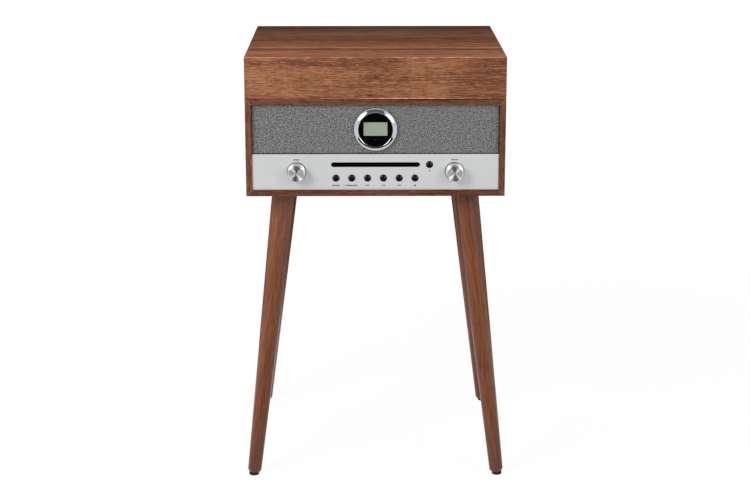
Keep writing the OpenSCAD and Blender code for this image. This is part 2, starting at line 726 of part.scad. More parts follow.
head_len = 48;
head_w = 19;
head_low = -2.2;
head_t = 2.6;
stylus_at = 40;
head_screw_x = 6.35;
head_screw_y = -26;
head_screw_r = 1.3;
module headshell() color("#1c1c1d") {
    difference() {
        translate([arm_x, y_arm - arm_len - 1, z_arm]) rotate([-90, 0, 0]) cylinder(r = tube_r + 1.4, h = 13);
        translate([arm_x, y_arm - arm_len, z_arm]) rotate([-90, 0, 0]) cylinder(r = tube_r, h = 14);
    }
    on_head() translate([0, 0, head_low]) linear_extrude(head_t) difference() {
        union() {
            translate([-head_w / 2, -head_len + 7]) square([head_w, head_len - 16]);
            polygon([[-head_w / 2, -9], [-3.5, -1.6], [3.5, -1.6], [head_w / 2, -9]]);
            translate([0, -head_len + 9.5]) circle(r = head_w / 2);
            translate([head_w / 2 - 1, -head_len + 16]) square([9, 4]);
            translate([head_w / 2 + 8, -head_len + 18]) circle(r = 2);
        }
        for (side = [-1, 1]) translate([side * head_screw_x, head_screw_y]) circle(r = head_screw_r);
    }
}

// The cartridge hangs under the headshell on two screws, whose heads lie on top of it
module cartridge() color("#8e1f1c") on_head() {
    body_low = -11;
    translate([0, -stylus_at + 12, 0]) along_x(-8, 8) polygon([[-16, head_low], [10, head_low], [10, -8],
        [4, body_low], [-10, body_low], [-16, -7]]);
    translate([0, -stylus_at, -arm_over]) cylinder(r1 = 0.3, r2 = 1, h = arm_over - 6);
    for (side = [-1, 1]) translate([side * head_screw_x, head_screw_y, head_low - fuse]) {
        cylinder(r = head_screw_r - run_gap, h = head_t + 1.5 * fuse);
        translate([0, 0, head_t + fuse]) cylinder(r = 2.2, h = 1.2);
    }
}

// Cueing: a curved rail under the arm's swing, on a stem through the deck
rail_w = 5;
rail_h = 2.6;
rail_from = -6;
rail_to = 46;
module cue_lifter() color("#3a3a3c") {
    top = z_arm - tube_r - fit_gap;
    translate(concat(arm_point(lifter_y, lifter_at), z_sleeve - lifter_travel))
        cylinder(r = lifter_r, h = top - 1 - z_sleeve + lifter_travel);
    translate([arm_x, y_arm, 0]) along_z(top - rail_h, top) intersection() {
        difference() {
            circle(r = lifter_y + rail_w / 2, $fn = 180);
            circle(r = lifter_y - rail_w / 2, $fn = 180);
        }
        polygon(concat([[0, 0]], [for (a = [rail_from, (rail_from + rail_to) / 2, rail_to])
            [-2 * lifter_y * sin(a), -2 * lifter_y * cos(a)]]));
    }
}

module cue_lever() color("#2a2a2b") {
    translate([lever_x - 8, lever_y, lever_z]) rotate([0, 90, 0]) cylinder(r = 2, h = 16);
    translate([lever_x - 5 + fit_gap, lever_y, lever_z]) rotate([0, 90, 0])
        cylinder(r = lever_r, h = 10 - 2 * fit_gap);
    along_x(lever_x - 2, lever_x + 2) polygon([[lever_y, lever_z + 2.6], [lever_y - 26, lever_z + 5],
        [lever_y - 30, lever_z + 4.6], [lever_y - 30, lever_z + 2.4], [lever_y, lever_z - 1.6]]);
}

// A deck slider: cap, neck through the slot, and a foot under the plate
module slider(y) {
    box([switch_x - 5, switch_x + 5], [y - 4, y + 4], [z_deck + 0.2, z_deck + 3]);
    along_x(switch_x - 4, switch_x + 4) polygon([[y - 3.4, z_deck + 3], [y + 3.4, z_deck + 3],
        [y + 1.4, z_deck + 6], [y - 1.4, z_deck + 6]]);
    box([switch_x - 1.9, switch_x + 1.9], [y - slider_l / 2, y + slider_l / 2],
        [z_deck_low - 0.3, z_deck + 0.3]);
    box([switch_x - 4, switch_x + 4], [y - 4, y + 4], [z_deck_low - 2.3, z_deck_low - 0.3]);
}

module speed_switch() color("#c9c9cb") slider(speed_y);

module auto_stop_switch() color("#c9c9cb") slider(stop_y);

// Front: baffle, cloth and display
sleeve_r = lens_r + 2.2;
module front_baffle() color("#3a332e") difference() {
    box([-in_x + fit_gap, in_x - fit_gap], [y_baffle, y_baffle_back], [z_cloth, z_cloth_top]);
    bar_y(0, z_display, y_baffle - cut, y_baffle_back + cut, sleeve_r + fit_gap);
    for (side = [-1, 1])
        bar_y(side * speaker_x, z_display, y_baffle - cut, y_baffle_back + cut, speaker_r);
}

module speaker_cloth() color("#757575") difference() {
    box([-in_x + cloth_gap, in_x - cloth_gap], [y_cloth, y_baffle], [z_cloth, z_cloth_top]);
    bar_y(0, z_display, y_cloth - cut, y_baffle + cut, sleeve_r + fit_gap);
}

// The bezel is turned: a sleeve through the baffle, a flange on the cloth, a domed ring and a
// sloping inner face that runs down to the lens
module display_bezel() color("#d9dadc") turned_forward(0, y_cloth, z_display, concat([
    [lens_r + fit_gap, -cloth_t - baffle_t - 2], [sleeve_r, -cloth_t - baffle_t - 2], [sleeve_r, 0],
    [bezel_r, 0]],
    [for (a = [0 : 12 : 156]) let (w = (bezel_r - lens_r) * 0.42)
        [bezel_r - w + w * cos(a), bezel_out - w + w * sin(a)]],
    [[lens_r - 0.5, 0.8], [lens_r - 0.5, 0.1], [lens_r + fit_gap, 0.1]]));

lens_t = 2;
module display_lens() color("#0c0c0e") turned_forward(0, y_cloth, z_display,
    [[0, -lens_t], [lens_r, -lens_t], [lens_r, 0], [0, 0]]);

lcd_w = 34.8;
lcd_h = 19.8;
module lcd_module() color("#94a290") {
    y_lcd = y_cloth + lens_t + 0.1;
    box([-lcd_w / 2, lcd_w / 2], [y_lcd, y_lcd + 3], [z_display - lcd_h / 2, z_display + lcd_h / 2]);
    bar_y(0, z_display, y_lcd + 2, y_lcd + 5, lens_r);
}

// Control panel
module panel_holes(y0, y1, extra) {
    translate([0, y1, z_slot]) rotate([90, 0, 0]) linear_extrude(y1 - y0) stadium(slot_w, slot_h);
    for (p = button_points) bar_y(p[0], p[1], y0, y1, button_r + extra);
    for (side = [-1, 1]) bar_y(side * knob_x, z_knob, y0, y1, shaft_r + 0.9);
}

button_points = concat([for (i = [0 : 5]) [(i - 2.5) * button_pitch, z_button]], [[eject_x, z_slot]]);

module control_panel() color("#cbcccb") difference() {
    along_x(-in_x + fit_gap, in_x - fit_gap) polygon([[y_panel, z_panel], [y_panel, z_panel_top - 0.6],
        [y_panel + 0.6, z_panel_top], [y_panel_back, z_panel_top], [y_panel_back, z_panel]]);
    panel_holes(y_panel - cut, y_panel_back + cut, 0.2);
}

// Buttons: a dished cap, a flange behind the panel and a stem that works the key switch
stem_r = 1.8;
y_board = y_front + 16;
key_mouth = y_board - 5;
button_proud = 1.4;
module button(i) {
    p = button_points[i];
    flange = -panel_t - fit_gap;
    stem = y_panel - key_mouth - 1;
    difference() {
        turned_forward(p[0], y_panel, p[1], [[0, stem], [stem_r, stem], [stem_r, flange - 1.4],
            [button_r + 1, flange - 1.4], [button_r + 1, flange], [button_r, flange],
            [button_r, button_proud - 0.5], [button_r - 0.5, button_proud], [0, button_proud]]);
        translate([p[0], y_panel - button_proud - 19.6, p[1]]) sphere(r = 20, $fn = 128);
    }
}

module button_source() color("#111111") button(0);

module button_function() color("#111111") button(1);

module button_previous() color("#111111") button(2);

module button_play() color("#111111") button(3);

module button_next() color("#111111") button(4);

module button_stop() color("#111111") button(5);

module button_eject() color("#111111") button(6);

// Knobs: a turned cap with a base ring, hollow behind, with a hub that grips the shaft
knob_gap = 0.5;
module knob(x) {
    hub = shaft_r + 2.5;
    turned_forward(x, y_panel, z_knob, [[shaft_r, 4], [hub, 4], [hub, 9], [knob_r - 2.5, 9],
        [knob_r - 2.2, knob_gap], [knob_base_r - 0.4, knob_gap], [knob_base_r, knob_gap + 0.4],
        [knob_base_r, knob_gap + 2], [knob_base_r - 0.4, knob_gap + 2.4], [knob_r + 0.5, knob_gap + 2.4],
        [knob_r, knob_out - 0.7], [knob_r - 0.7, knob_out], [knob_r - 1.4, knob_out],
        [0, knob_out - 0.5], [0, shaft_end], [shaft_r, shaft_end]]);
}

shaft_end = 13;
encoder_t = 7;
module control_shaft(x) bar_y(x, z_knob, y_panel - shaft_end, y_board - 1, shaft_r);

module tuning_knob() color("#c3c4c6") knob(-knob_x);

module volume_knob() color("#c3c4c6") knob(knob_x);

module tuning_shaft() color("#9b9c9f") control_shaft(-knob_x);

module volume_shaft() color("#9b9c9f") control_shaft(knob_x);

// Loudspeakers: frame, basket and magnet as one piece, with the cone in front
speaker_frame_w = 4;
speaker_d = 34;
magnet_r = 18;
magnet_h = 16;
module speaker_drivers() color("#2c2c2e") for (side = [-1, 1]) {
    frame_r = speaker_r + speaker_frame_w;
    yoke = magnet_h - speaker_d;
    turned_forward(side * speaker_x, y_baffle_back, z_display, [[0, -speaker_d], [magnet_r, -speaker_d],
        [magnet_r, yoke - 2], [speaker_r - 3, yoke / 3], [frame_r, -2], [frame_r, 0], [speaker_r - 1, 0],
        [speaker_r - 4, yoke / 3 + 1], [magnet_r - 2, yoke], [0, yoke]]);
    turned_forward(side * speaker_x, y_baffle_back, z_display, [[0, -10], [8, -12], [speaker_r - 4, -4],
        [speaker_r - 1.5, -0.6], [speaker_r - 2, 0.6], [speaker_r - 4.5, -2.6], [8, -10], [0, -7.5]]);
}

// Disc mechanism: a tray on four posts with a cover, open at the front
cd_w = 140;
cd_d = 142;
y_cd = y_panel_back + 1.5;
y_disc = y_cd + 66;
z_tray = z_slot - 11;
z_cover = z_slot + 10;
cd_wall = 2;
roller_r = 3;
roller_y = y_cd + 9;
disc_room = 4.6;
roller_z = z_slot - disc_room / 2 - roller_r;
hub_top = z_slot - disc_room / 2;
hub_r = 14;
roller_pin = 1.5;
roller_gap = 6;
module cd_mechanism() color("#3f4042") {
    difference() {
        union() {
            difference() {
                box([-cd_w / 2, cd_w / 2], [y_cd, y_cd + cd_d], [z_tray, z_cover]);
                box([-cd_w / 2 + cd_wall, cd_w / 2 - cd_wall], [y_cd - cut, y_cd + cd_d - cd_wall],
                    [z_tray + cd_wall, z_cover + cut]);
            }
            for (x = [-1, 1]) for (y = [y_board + pcb_t + 6, y_cd + cd_d - 8])
                translate([x * (cd_w / 2 - 6), y, z_floor]) cylinder(r = 4, h = z_tray - z_floor + 1);
        }
        translate([-cd_w / 2 - cut, roller_y, roller_z]) rotate([0, 90, 0])
            cylinder(r = roller_pin + run_gap, h = cd_w + 2 * cut);
        translate([0, y_disc, z_tray - cut]) cylinder(r = 2 + run_gap, h = cd_wall + 2 * cut);
    }
    box([-cd_w / 2, cd_w / 2], [y_cd, y_cd + cd_d], [z_cover - fuse, z_cover + 1.6]);
}

module cd_hub() color("#28282a") translate([0, y_disc, 0]) rotate_extrude() polygon([[0, z_tray - 2],
    [2, z_tray - 2], [2, z_tray + cd_wall + 0.3], [hub_r, z_tray + cd_wall + 0.3], [hub_r, hub_top - 2.4],
    [7.4, hub_top - 2.4], [7, hub_top - 0.6], [6, hub_top], [0, hub_top]]);

module cd_roller() color("#1b1b1c") {
    translate([-cd_w / 2, roller_y, roller_z]) rotate([0, 90, 0]) cylinder(r = roller_pin, h = cd_w);
    for (side = [0, 1]) mirror([side, 0, 0]) translate([roller_gap, roller_y, roller_z]) rotate([0, 90, 0])
        cylinder(r1 = roller_r - 0.5, r2 = roller_r, h = cd_w / 2 - roller_gap - cd_wall - 0.5);
}

// Circuit boards: the key board behind the panel with its switches and rotary controls, the main
// board and the power supply
pcb_t = 1.6;
module key_board_outline() {
    low = z_floor + 3;
    high = z_floor + 36;
    translate([-knob_x - 14, low]) square([2 * knob_x + 28, z_tray - 1.2 - low]);
    for (side = [0, 1]) mirror([side, 0]) translate([cd_w / 2 + 1.5, low])
        square([knob_x + 14 - cd_w / 2 - 1.5, z_slot + 9 - low]);
}

module circuit_boards() color("#1f5a36") {
    difference() {
        union() {
            along_y(y_board, y_board + pcb_t) key_board_outline();
            for (p = button_points) box([p[0] - 3, p[0] + 3], [key_mouth, y_board + fuse],
                [p[1] - 3, p[1] + 3]);
            for (side = [-1, 1]) {
                x = side * knob_x;
                box([x - 6, x + 6], [y_board - encoder_t, y_board + fuse], [z_knob - 6, z_knob + 6]);
                bar_y(x, z_knob, y_panel - 2.5, y_board - 1, shaft_r + 0.7);
            }
            for (x = [-knob_x - 8, knob_x + 8]) box([x - 4, x + 4], [y_board, y_board + 6],
                [z_floor, z_floor + 12]);
        }
        for (p = button_points) bar_y(p[0], p[1], key_mouth - cut, key_mouth + 1 + button_travel + 0.4,
            stem_r + 0.1);
        for (side = [-1, 1])
            bar_y(side * knob_x, z_knob, y_panel - 4, y_board - 1, shaft_r + run_gap);
    }
    translate([0, y_batten - batten_w - 4, z_floor]) {
        power_board();
        main_board();
    }
}

// Boards stand on four feet; their rear edge is at y = 0 and their foot at z = 0
module board_on_feet(x, y) {
    box(x, y, [7, 7 + pcb_t]);
    for (u = [x[0] + 5, x[1] - 5]) for (v = [y[0] + 5, y[1] - 5])
        translate([u, v, 0]) cylinder(r = 3, h = 7.5);
}

main_w = 130;
power_w = 100;
board_in = 31;
module main_board() translate([in_x - board_in - main_w, 0, 0]) {
    board_on_feet([0, main_w], [-95, 0]);
    for (i = [0 : 5]) box([14 + i * 6, 16.5 + i * 6], [-30, -12], [7, 34]);
    box([10, 50], [-34, -8], [7, 16]);
    for (i = [0 : 3]) translate([70 + i * 14, -24, 7]) cylinder(r = 5, h = 20, $fn = 32);
    for (i = [0 : 2]) box([20 + i * 34, 38 + i * 34], [-78, -60], [7, 11]);
}

module power_board() translate([board_in - in_x, 0, 0]) {
    board_on_feet([0, power_w], [-90, 0]);
    box([10, 52], [-74, -34], [7, 40]);
    box([16, 46], [-78, -30], [14, 33]);
    for (i = [0 : 2]) translate([66 + i * 13, -60, 7]) cylinder(r = 5.5, h = 24, $fn = 32);
}

// Rear sockets
module rca_jacks() color("#c7a64a") {
    box([jack_x - 16, jack_x + 16], [y_batten - 12, y_batten], [jack_z - 8, jack_z + 8]);
    for (side = [-1, 1]) difference() {
        bar_y(jack_x + side * jack_pitch / 2, jack_z, y_batten - 1, y_rear_panel + 8.4, jack_r);
        bar_y(jack_x + side * jack_pitch / 2, jack_z, y_rear_panel, y_rear_panel + 9, 1.6);
    }
}

// Mains inlet: a flange on the back panel with a two-pin cavity and the switch frame beside it
cavity_x = inlet_x - 10;
rocker_x = inlet_x + 11;
rocker_w = 10;
rocker_h = 15;
rocker_tilt = 10;
module power_inlet() color("#141415") {
    back = y_rear_panel - 16;
    difference() {
        union() {
            box([inlet_x - inlet_w / 2 - 4, inlet_x + inlet_w / 2 + 4], [y_rear_panel, y_rear_panel + 2],
                [inlet_z - inlet_h / 2 - 4, inlet_z + inlet_h / 2 + 4]);
            box([inlet_x - inlet_w / 2 + fit_gap, inlet_x + inlet_w / 2 - fit_gap], [back, y_rear_panel + 1],
                [inlet_z - inlet_h / 2 + fit_gap, inlet_z + inlet_h / 2 - fit_gap]);
        }
        translate([cavity_x, y_rear_panel + 2 + cut, inlet_z]) rotate([90, 0, 0])
            linear_extrude(14 + cut) rotate(90) stadium(17, 9.4);
        box([rocker_x - rocker_w / 2 - 0.4, rocker_x + rocker_w / 2 + 0.4], [y_rear_panel - 11, y_rear_panel + 3],
            [inlet_z - rocker_h / 2 - 1.2, inlet_z + rocker_h / 2 + 1.2]);
        translate([rocker_x - rocker_w / 2 - 3, y_rocker, inlet_z]) rotate([0, 90, 0])
            cylinder(r = 1.2 + run_gap, h = rocker_w + 6);
    }
    for (side = [-1, 1]) bar_y(cavity_x, inlet_z + side * 4.3, y_rear_panel - 12.5, y_rear_panel - 2, 1.2);
}

// The rocker's rear face has two flats that meet in a shallow ridge; at rest it lies switched off
y_rocker = y_rear_panel - 3;
module power_rocker() color("#0d0d0e") {
    half = rocker_h / 2;
    translate([0, y_rocker, inlet_z]) rotate([-rocker_tilt, 0, 0])
        along_x(rocker_x - rocker_w / 2, rocker_x + rocker_w / 2) polygon([[-5, -half + 3], [-5, half - 3],
            [2.5, half - 0.3], [5 + 1.2, half - 0.6], [5, 0], [5 + 1.2, -half + 0.6], [2.5, -half + 0.3]]);
    translate([rocker_x - rocker_w / 2 - 2, y_rocker, inlet_z]) rotate([0, 90, 0])
        cylinder(r = 1.2, h = rocker_w + 4);
}

bottom_board();
side_boards();
top_rails();
back_panel();
wood_screws();
leg_plates();
legs();
foot_pads();
lid_top();
lid_front();
lid_back();
lid_sides();
lid_hinge_leaves();
case_hinge_leaves();
stay_arm();
stay_pivot();
stay_stud();
deck_plate();
arm_rest();
platter();
slip_mat();
platter_spindle();
drive_belt();
motor_pulley();
turntable_motor();
tonearm_base();
tonearm_yoke();
tonearm_tube();
counterweight();
headshell();
cartridge();
cue_lever();
cue_lifter();
speed_switch();
auto_stop_switch();
front_baffle();
speaker_cloth();
display_bezel();
display_lens();
lcd_module();
control_panel();
button_source();
button_function();
button_previous();
button_play();
button_next();
button_stop();
button_eject();
tuning_knob();
volume_knob();
tuning_shaft();
volume_shaft();
speaker_drivers();
cd_mechanism();
cd_hub();
cd_roller();
circuit_boards();
rca_jacks();
power_inlet();
power_rocker();
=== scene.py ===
"""Stereo music centre: a walnut console on four legs, dressed on its frame of exact parts."""

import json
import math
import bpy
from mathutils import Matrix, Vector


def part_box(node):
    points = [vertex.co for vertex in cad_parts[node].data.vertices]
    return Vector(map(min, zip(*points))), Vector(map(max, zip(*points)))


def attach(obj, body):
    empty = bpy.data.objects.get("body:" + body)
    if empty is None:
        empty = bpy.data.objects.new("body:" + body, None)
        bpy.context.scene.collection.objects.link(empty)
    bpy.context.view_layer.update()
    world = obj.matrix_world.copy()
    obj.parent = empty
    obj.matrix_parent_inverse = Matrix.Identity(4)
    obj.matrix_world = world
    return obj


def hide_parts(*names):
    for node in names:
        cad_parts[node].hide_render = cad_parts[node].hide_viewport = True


bl_info = {
    "name": "Stereo Music Centre",
    "version": (1, 0, 0),
    "blender": (4, 5, 0),
    "location": "View3D > Sidebar > Music Centre",
    "description": "Walnut console with a record deck, a disc slot and a round display",
    "category": "Add Mesh",
}

import bmesh
import bpy
import numpy as np
from bpy.props import FloatProperty, FloatVectorProperty, PointerProperty
from mathutils import Matrix, Vector

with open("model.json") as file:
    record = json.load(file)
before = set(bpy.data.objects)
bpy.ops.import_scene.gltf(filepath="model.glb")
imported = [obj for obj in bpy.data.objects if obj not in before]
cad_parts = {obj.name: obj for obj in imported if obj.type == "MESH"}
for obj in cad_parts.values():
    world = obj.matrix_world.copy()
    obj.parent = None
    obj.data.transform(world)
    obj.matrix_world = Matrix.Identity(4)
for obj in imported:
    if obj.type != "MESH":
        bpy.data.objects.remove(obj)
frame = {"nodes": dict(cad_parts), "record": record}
NODES = frame["nodes"]
BODY = {n: b for b, ns in frame["record"]["behaviour"]["bodies"].items() for n in ns}
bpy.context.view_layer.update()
MM = 0.001
CREASE = math.radians(30)


def corners(node):
    """The lowest and highest corner of a frame node, as arrays."""
    low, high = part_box(node)
    return np.array(low), np.array(high)


def centre(node):
    """The middle of a frame node."""
    low, high = corners(node)
    return (low + high) / 2


def centre_at(node, y):
    """The middle of a frame node, moved forwards or back to y."""
    middle = centre(node)
    middle[1] = y
    return middle


def panel_face():
    """The y of the control panel's front."""
    return float(corners("control_panel")[0][1])


def extent(node, axis=0):
    """The size of a frame node along an axis, in millimetres."""
    low, high = corners(node)
    return float(high[axis] - low[axis]) / MM


def linear(r, g, b):
    """Light of a screen colour given in bytes: ((c / 255 + 0.055) / 1.055) to the power 2.4."""
    return tuple(((c / 255 + 0.055) / 1.055) ** 2.4 for c in (r, g, b))


def tone(colour, share=1.0):
    """The colour times a share, with full alpha."""
    return tuple(min(1.0, c * share) for c in tuple(colour)[:3]) + (1.0,)


# Sizes and colours that a user would change


def number(name, text, value, **limits):
    return FloatProperty(name=name, description=text, default=value, min=0, **limits)


def length(name, text, value):
    return number(name, text, value, unit="LENGTH", precision=4)


def colour(name, text, *value):
    return FloatVectorProperty(name=name, description=text, default=linear(*value), size=3, min=0, max=1,
                               subtype="COLOR")


class WoodSettings(bpy.types.PropertyGroup):
    """Tones of the walnut boards and legs."""
    lid_top: colour("Lid top", "Middle tone of the lid's top board", 142, 93, 68)
    lid_front: colour("Lid front", "Middle tone of the lid's front board", 138, 89, 62)
    case: colour("Case", "Middle tone of the side boards", 122, 77, 56)
    rail: colour("Rails", "Middle tone of the rails and of the bottom board", 102, 63, 45)
    legs: colour("Legs", "Middle tone of the legs", 121, 71, 45)
    edge: length("Edge", "Rounding of the boards' edges", 0.5 * MM)
    leg_top: length("Leg top", "Diameter of a leg under the case", 36 * MM)
    leg_foot: length("Leg foot", "Diameter of a leg above its chamfer", 20.6 * MM)
    leg_plate: length("Leg plate", "Thickness of a leg plate", 2.5 * MM)


class FrontSettings(bpy.types.PropertyGroup):
    """Cloth, display, panel, buttons and knobs."""
    cloth_light: colour("Light thread", "Light thread of the speaker cloth", 163, 163, 163)
    cloth_dark: colour("Dark thread", "Dark thread of the speaker cloth", 11, 11, 12)
    thread: length("Thread", "Spacing of the cloth's threads", 0.75 * MM)
    panel: colour("Panel", "Silver paint of the control panel", 213, 215, 214)
    display: colour("Display", "Unlit display", 146, 161, 142)
    window: FloatVectorProperty(name="Window", description="Width and height of the display's window",
                                default=(34.8 * MM, 19.8 * MM), size=2, min=0, unit="LENGTH")
    slot_width: length("Slot width", "Length of the disc slot", 130.4 * MM)
    slot_height: length("Slot height", "Height of the disc slot", 7 * MM)
    cap: length("Button", "Radius of a button's cap", 5.2 * MM)
    knob: length("Knob", "Radius of a knob's face", 12.3 * MM)
    knob_base: length("Knob base", "Radius of a knob's base ring", 13.9 * MM)


class DeckSettings(bpy.types.PropertyGroup):
    """Platter and mat."""
    platter: length("Platter", "Radius of the platter", 98 * MM)
    mat: length("Mat", "Thickness of the slip mat", 1.5 * MM)
    felt: colour("Felt", "Felt of the slip mat", 78, 78, 80)


class StageSettings(bpy.types.PropertyGroup):
    """Light and floor."""
    key: number("Key", "Power of the large lamp at the upper left", 52, unit="POWER")
    fill: number("Fill", "Power of the lamp at the right", 17, unit="POWER")
    sky: number("Sky", "Strength of the even light from all sides", 0.5, max=1)
    floor: number("Floor", "Share of the floor near the object that is plain white", 0.88, max=1)


# Surfaces


def surface(name, points, uv=None, closed=True, ends=False):
    """A skin through the grid points[i, j], with faces (i, j), (i, j + 1), (i + 1, j + 1), (i + 1, j).
    Closed joins the last column to the first, and ends joins the last row to the first."""
    rows, cols = points.shape[:2]
    i, j = np.meshgrid(np.arange(rows if ends else rows - 1), np.arange(cols if closed else cols - 1), indexing="ij")
    i1, j1 = (i + 1) % rows, (j + 1) % cols
    loops = np.stack([i * cols + j, i * cols + j1, i1 * cols + j1, i1 * cols + j], -1).reshape(-1)
    mesh = bpy.data.meshes.new(name)
    mesh.vertices.add(rows * cols)
    mesh.vertices.foreach_set("co", points.astype(np.float32).ravel())
    mesh.loops.add(len(loops))
    mesh.loops.foreach_set("vertex_index", loops.astype(np.int32))
    mesh.polygons.add(len(loops) // 4)
    mesh.polygons.foreach_set("loop_start", np.arange(0, len(loops), 4, dtype=np.int32))
    if uv is not None:
        corner = np.stack([uv[i, j], uv[i, j + 1], uv[i + 1, j + 1], uv[i + 1, j]], -2)
        mesh.uv_layers.new(name="turn").data.foreach_set("uv", corner.astype(np.float32).ravel())
    mesh.update(calc_edges=True)
    return mesh


def seal(mesh, outward=False):
    """Merges the points that coincide at poles and seams, and can turn a closed skin's faces outwards."""
    work = bmesh.new()
    work.from_mesh(mesh)
    bmesh.ops.remove_doubles(work, verts=work.verts, dist=1e-7)
    if outward:
        bmesh.ops.recalc_face_normals(work, faces=work.faces)
    work.to_mesh(mesh)
    work.free()
    return mesh


def joined(name, meshes):
    """One mesh of several."""
    work = bmesh.new()
    for mesh in meshes:
        work.from_mesh(mesh)
        bpy.data.meshes.remove(mesh)
    whole = bpy.data.meshes.new(name)
    work.to_mesh(whole)
    work.free()
    return whole


AXES = {"front": ((1, 0, 0), (0, 0, 1), (0, -1, 0)), "up": ((1, 0, 0), (0, 1, 0), (0, 0, 1)),
        "back": ((-1, 0, 0), (0, 0, 1), (0, 1, 0)), "right": ((0, 1, 0), (0, 0, 1), (1, 0, 0))}


def turned(name, profile, place, way="front", segments=96):
    """A surface of revolution: P(i, a) = place + r (u cos a + v sin a) + d w for each (r, d) of the profile, which
    is in millimetres and runs from the back of the axis round the outside to its front."""
    profile = np.array(profile, float) * MM
    u, v, w = (np.array(axis, float) for axis in AXES[way])
    r, d = profile.T[..., None]
    a = np.arange(segments) * 2 * np.pi / segments
    ring = np.cos(a)[:, None] * u + np.sin(a)[:, None] * v
    points = np.array(place) + r[..., None] * ring + d[..., None] * w
    run = np.append(0, np.cumsum(np.hypot(*np.diff(profile, axis=0).T)))
    uv = np.stack(np.meshgrid(run, np.arange(segments + 1) / segments, indexing="ij")[::-1], -1)
    return seal(surface(name, points, uv))


def rounded(profile, radius, steps=4):
    """The profile with each inner corner C replaced by the curve (1-t)^2 A + 2t(1-t) C + t^2 B, where A and B
    lie on its two sides, a radius from C or at most 45% of the side."""
    p = np.array(profile, float)
    reach = np.broadcast_to(radius, len(p) - 2)[:, None]
    back, ahead = p[:-2] - p[1:-1], p[2:] - p[1:-1]
    size_b, size_a = (np.linalg.norm(e, axis=1, keepdims=True) for e in (back, ahead))
    a = p[1:-1] + back / size_b * np.minimum(reach, 0.45 * size_b)
    b = p[1:-1] + ahead / size_a * np.minimum(reach, 0.45 * size_a)
    t = np.linspace(0, 1, steps + 1)[None, :, None]
    arcs = (1 - t) ** 2 * a[:, None] + 2 * t * (1 - t) * p[1:-1][:, None] + t ** 2 * b[:, None]
    return np.vstack([p[:1], arcs.reshape(-1, 2), p[-1:]])


def tile(width, height, radius, steps=4):
    """A rectangle about the origin with rounded corners, anticlockwise."""
    x, z = width / 2, height / 2
    return rounded([(0, -z), (x, -z), (x, z), (-x, z), (-x, -z), (0, -z)], radius, steps)[:-1]


def prism(name, outline, y0, y1):
    """An outline of (x, z) points, anticlockwise from the front, carried from its front y0 back to y1."""
    flat = np.array(outline, float)
    n = len(flat)
    points = np.array([[[x, y, z] for x, z in flat] for y in (y0, y1)]).reshape(-1, 3)
    sides = [(k, n + k, n + (k + 1) % n, (k + 1) % n) for k in range(n)]
    mesh = bpy.data.meshes.new(name)
    mesh.from_pydata(points, [], [tuple(range(n)), tuple(range(2 * n - 1, n - 1, -1))] + sides)
    return mesh


def stadium(width, height, steps=16):
    """Two half rounds of radius height / 2 joined by straights, anticlockwise."""
    a = np.linspace(-np.pi / 2, np.pi / 2, steps + 1)
    half = np.stack([width / 2 - height / 2 + height / 2 * np.cos(a), height / 2 * np.sin(a)], -1)
    return np.vstack([half, -half])


# Placing


def link(name, data):
    """A new object in the scene."""
    thing = bpy.data.objects.new(name, data)
    bpy.context.scene.collection.objects.link(thing)
    return thing


def smooth(mesh):
    mesh.polygons.foreach_set("use_smooth", np.ones(len(mesh.polygons), bool))


def modify(piece, name, kind, **settings):
    """Adds a modifier with its settings."""
    added = piece.modifiers.new(name, kind)
    for key, value in settings.items():
        setattr(added, key, value)


def show(mesh, finish, node="", body="", sharp=32):
    """Puts a mesh into the scene, in place of a frame node or as a piece of its own on a body, smooth except along
    edges over a stated angle."""
    piece = link(mesh.name, mesh)
    mesh.materials.append(material(finish))
    smooth(mesh)
    mesh.set_sharp_from_angle(angle=math.radians(sharp))
    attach(piece, body or BODY.get(node, "cabinet"))
    if node:
        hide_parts(node)
    return piece


def dress(node, finish, edge=0.0, segments=3):
    """Gives a frame node its finish: its triangles are welded, and its edges rounded by so many millimetres, or
    kept crisp."""
    piece = NODES[node]
    mesh = piece.data
    if "custom_normal" in mesh.attributes:
        mesh.attributes.remove(mesh.attributes["custom_normal"])
    smooth(mesh)
    for place in piece.material_slots:
        place.material = material(finish)
    modify(piece, "weld", "WELD", merge_threshold=2e-6)
    if edge:
        modify(piece, "flat", "DECIMATE", decimate_type="DISSOLVE", angle_limit=math.radians(0.5))
        modify(piece, "edge", "BEVEL", width=edge * MM, segments=segments, limit_method="ANGLE", angle_limit=CREASE,
               harden_normals=True)
    else:
        modify(piece, "crease", "EDGE_SPLIT", split_angle=CREASE)


# Finishes


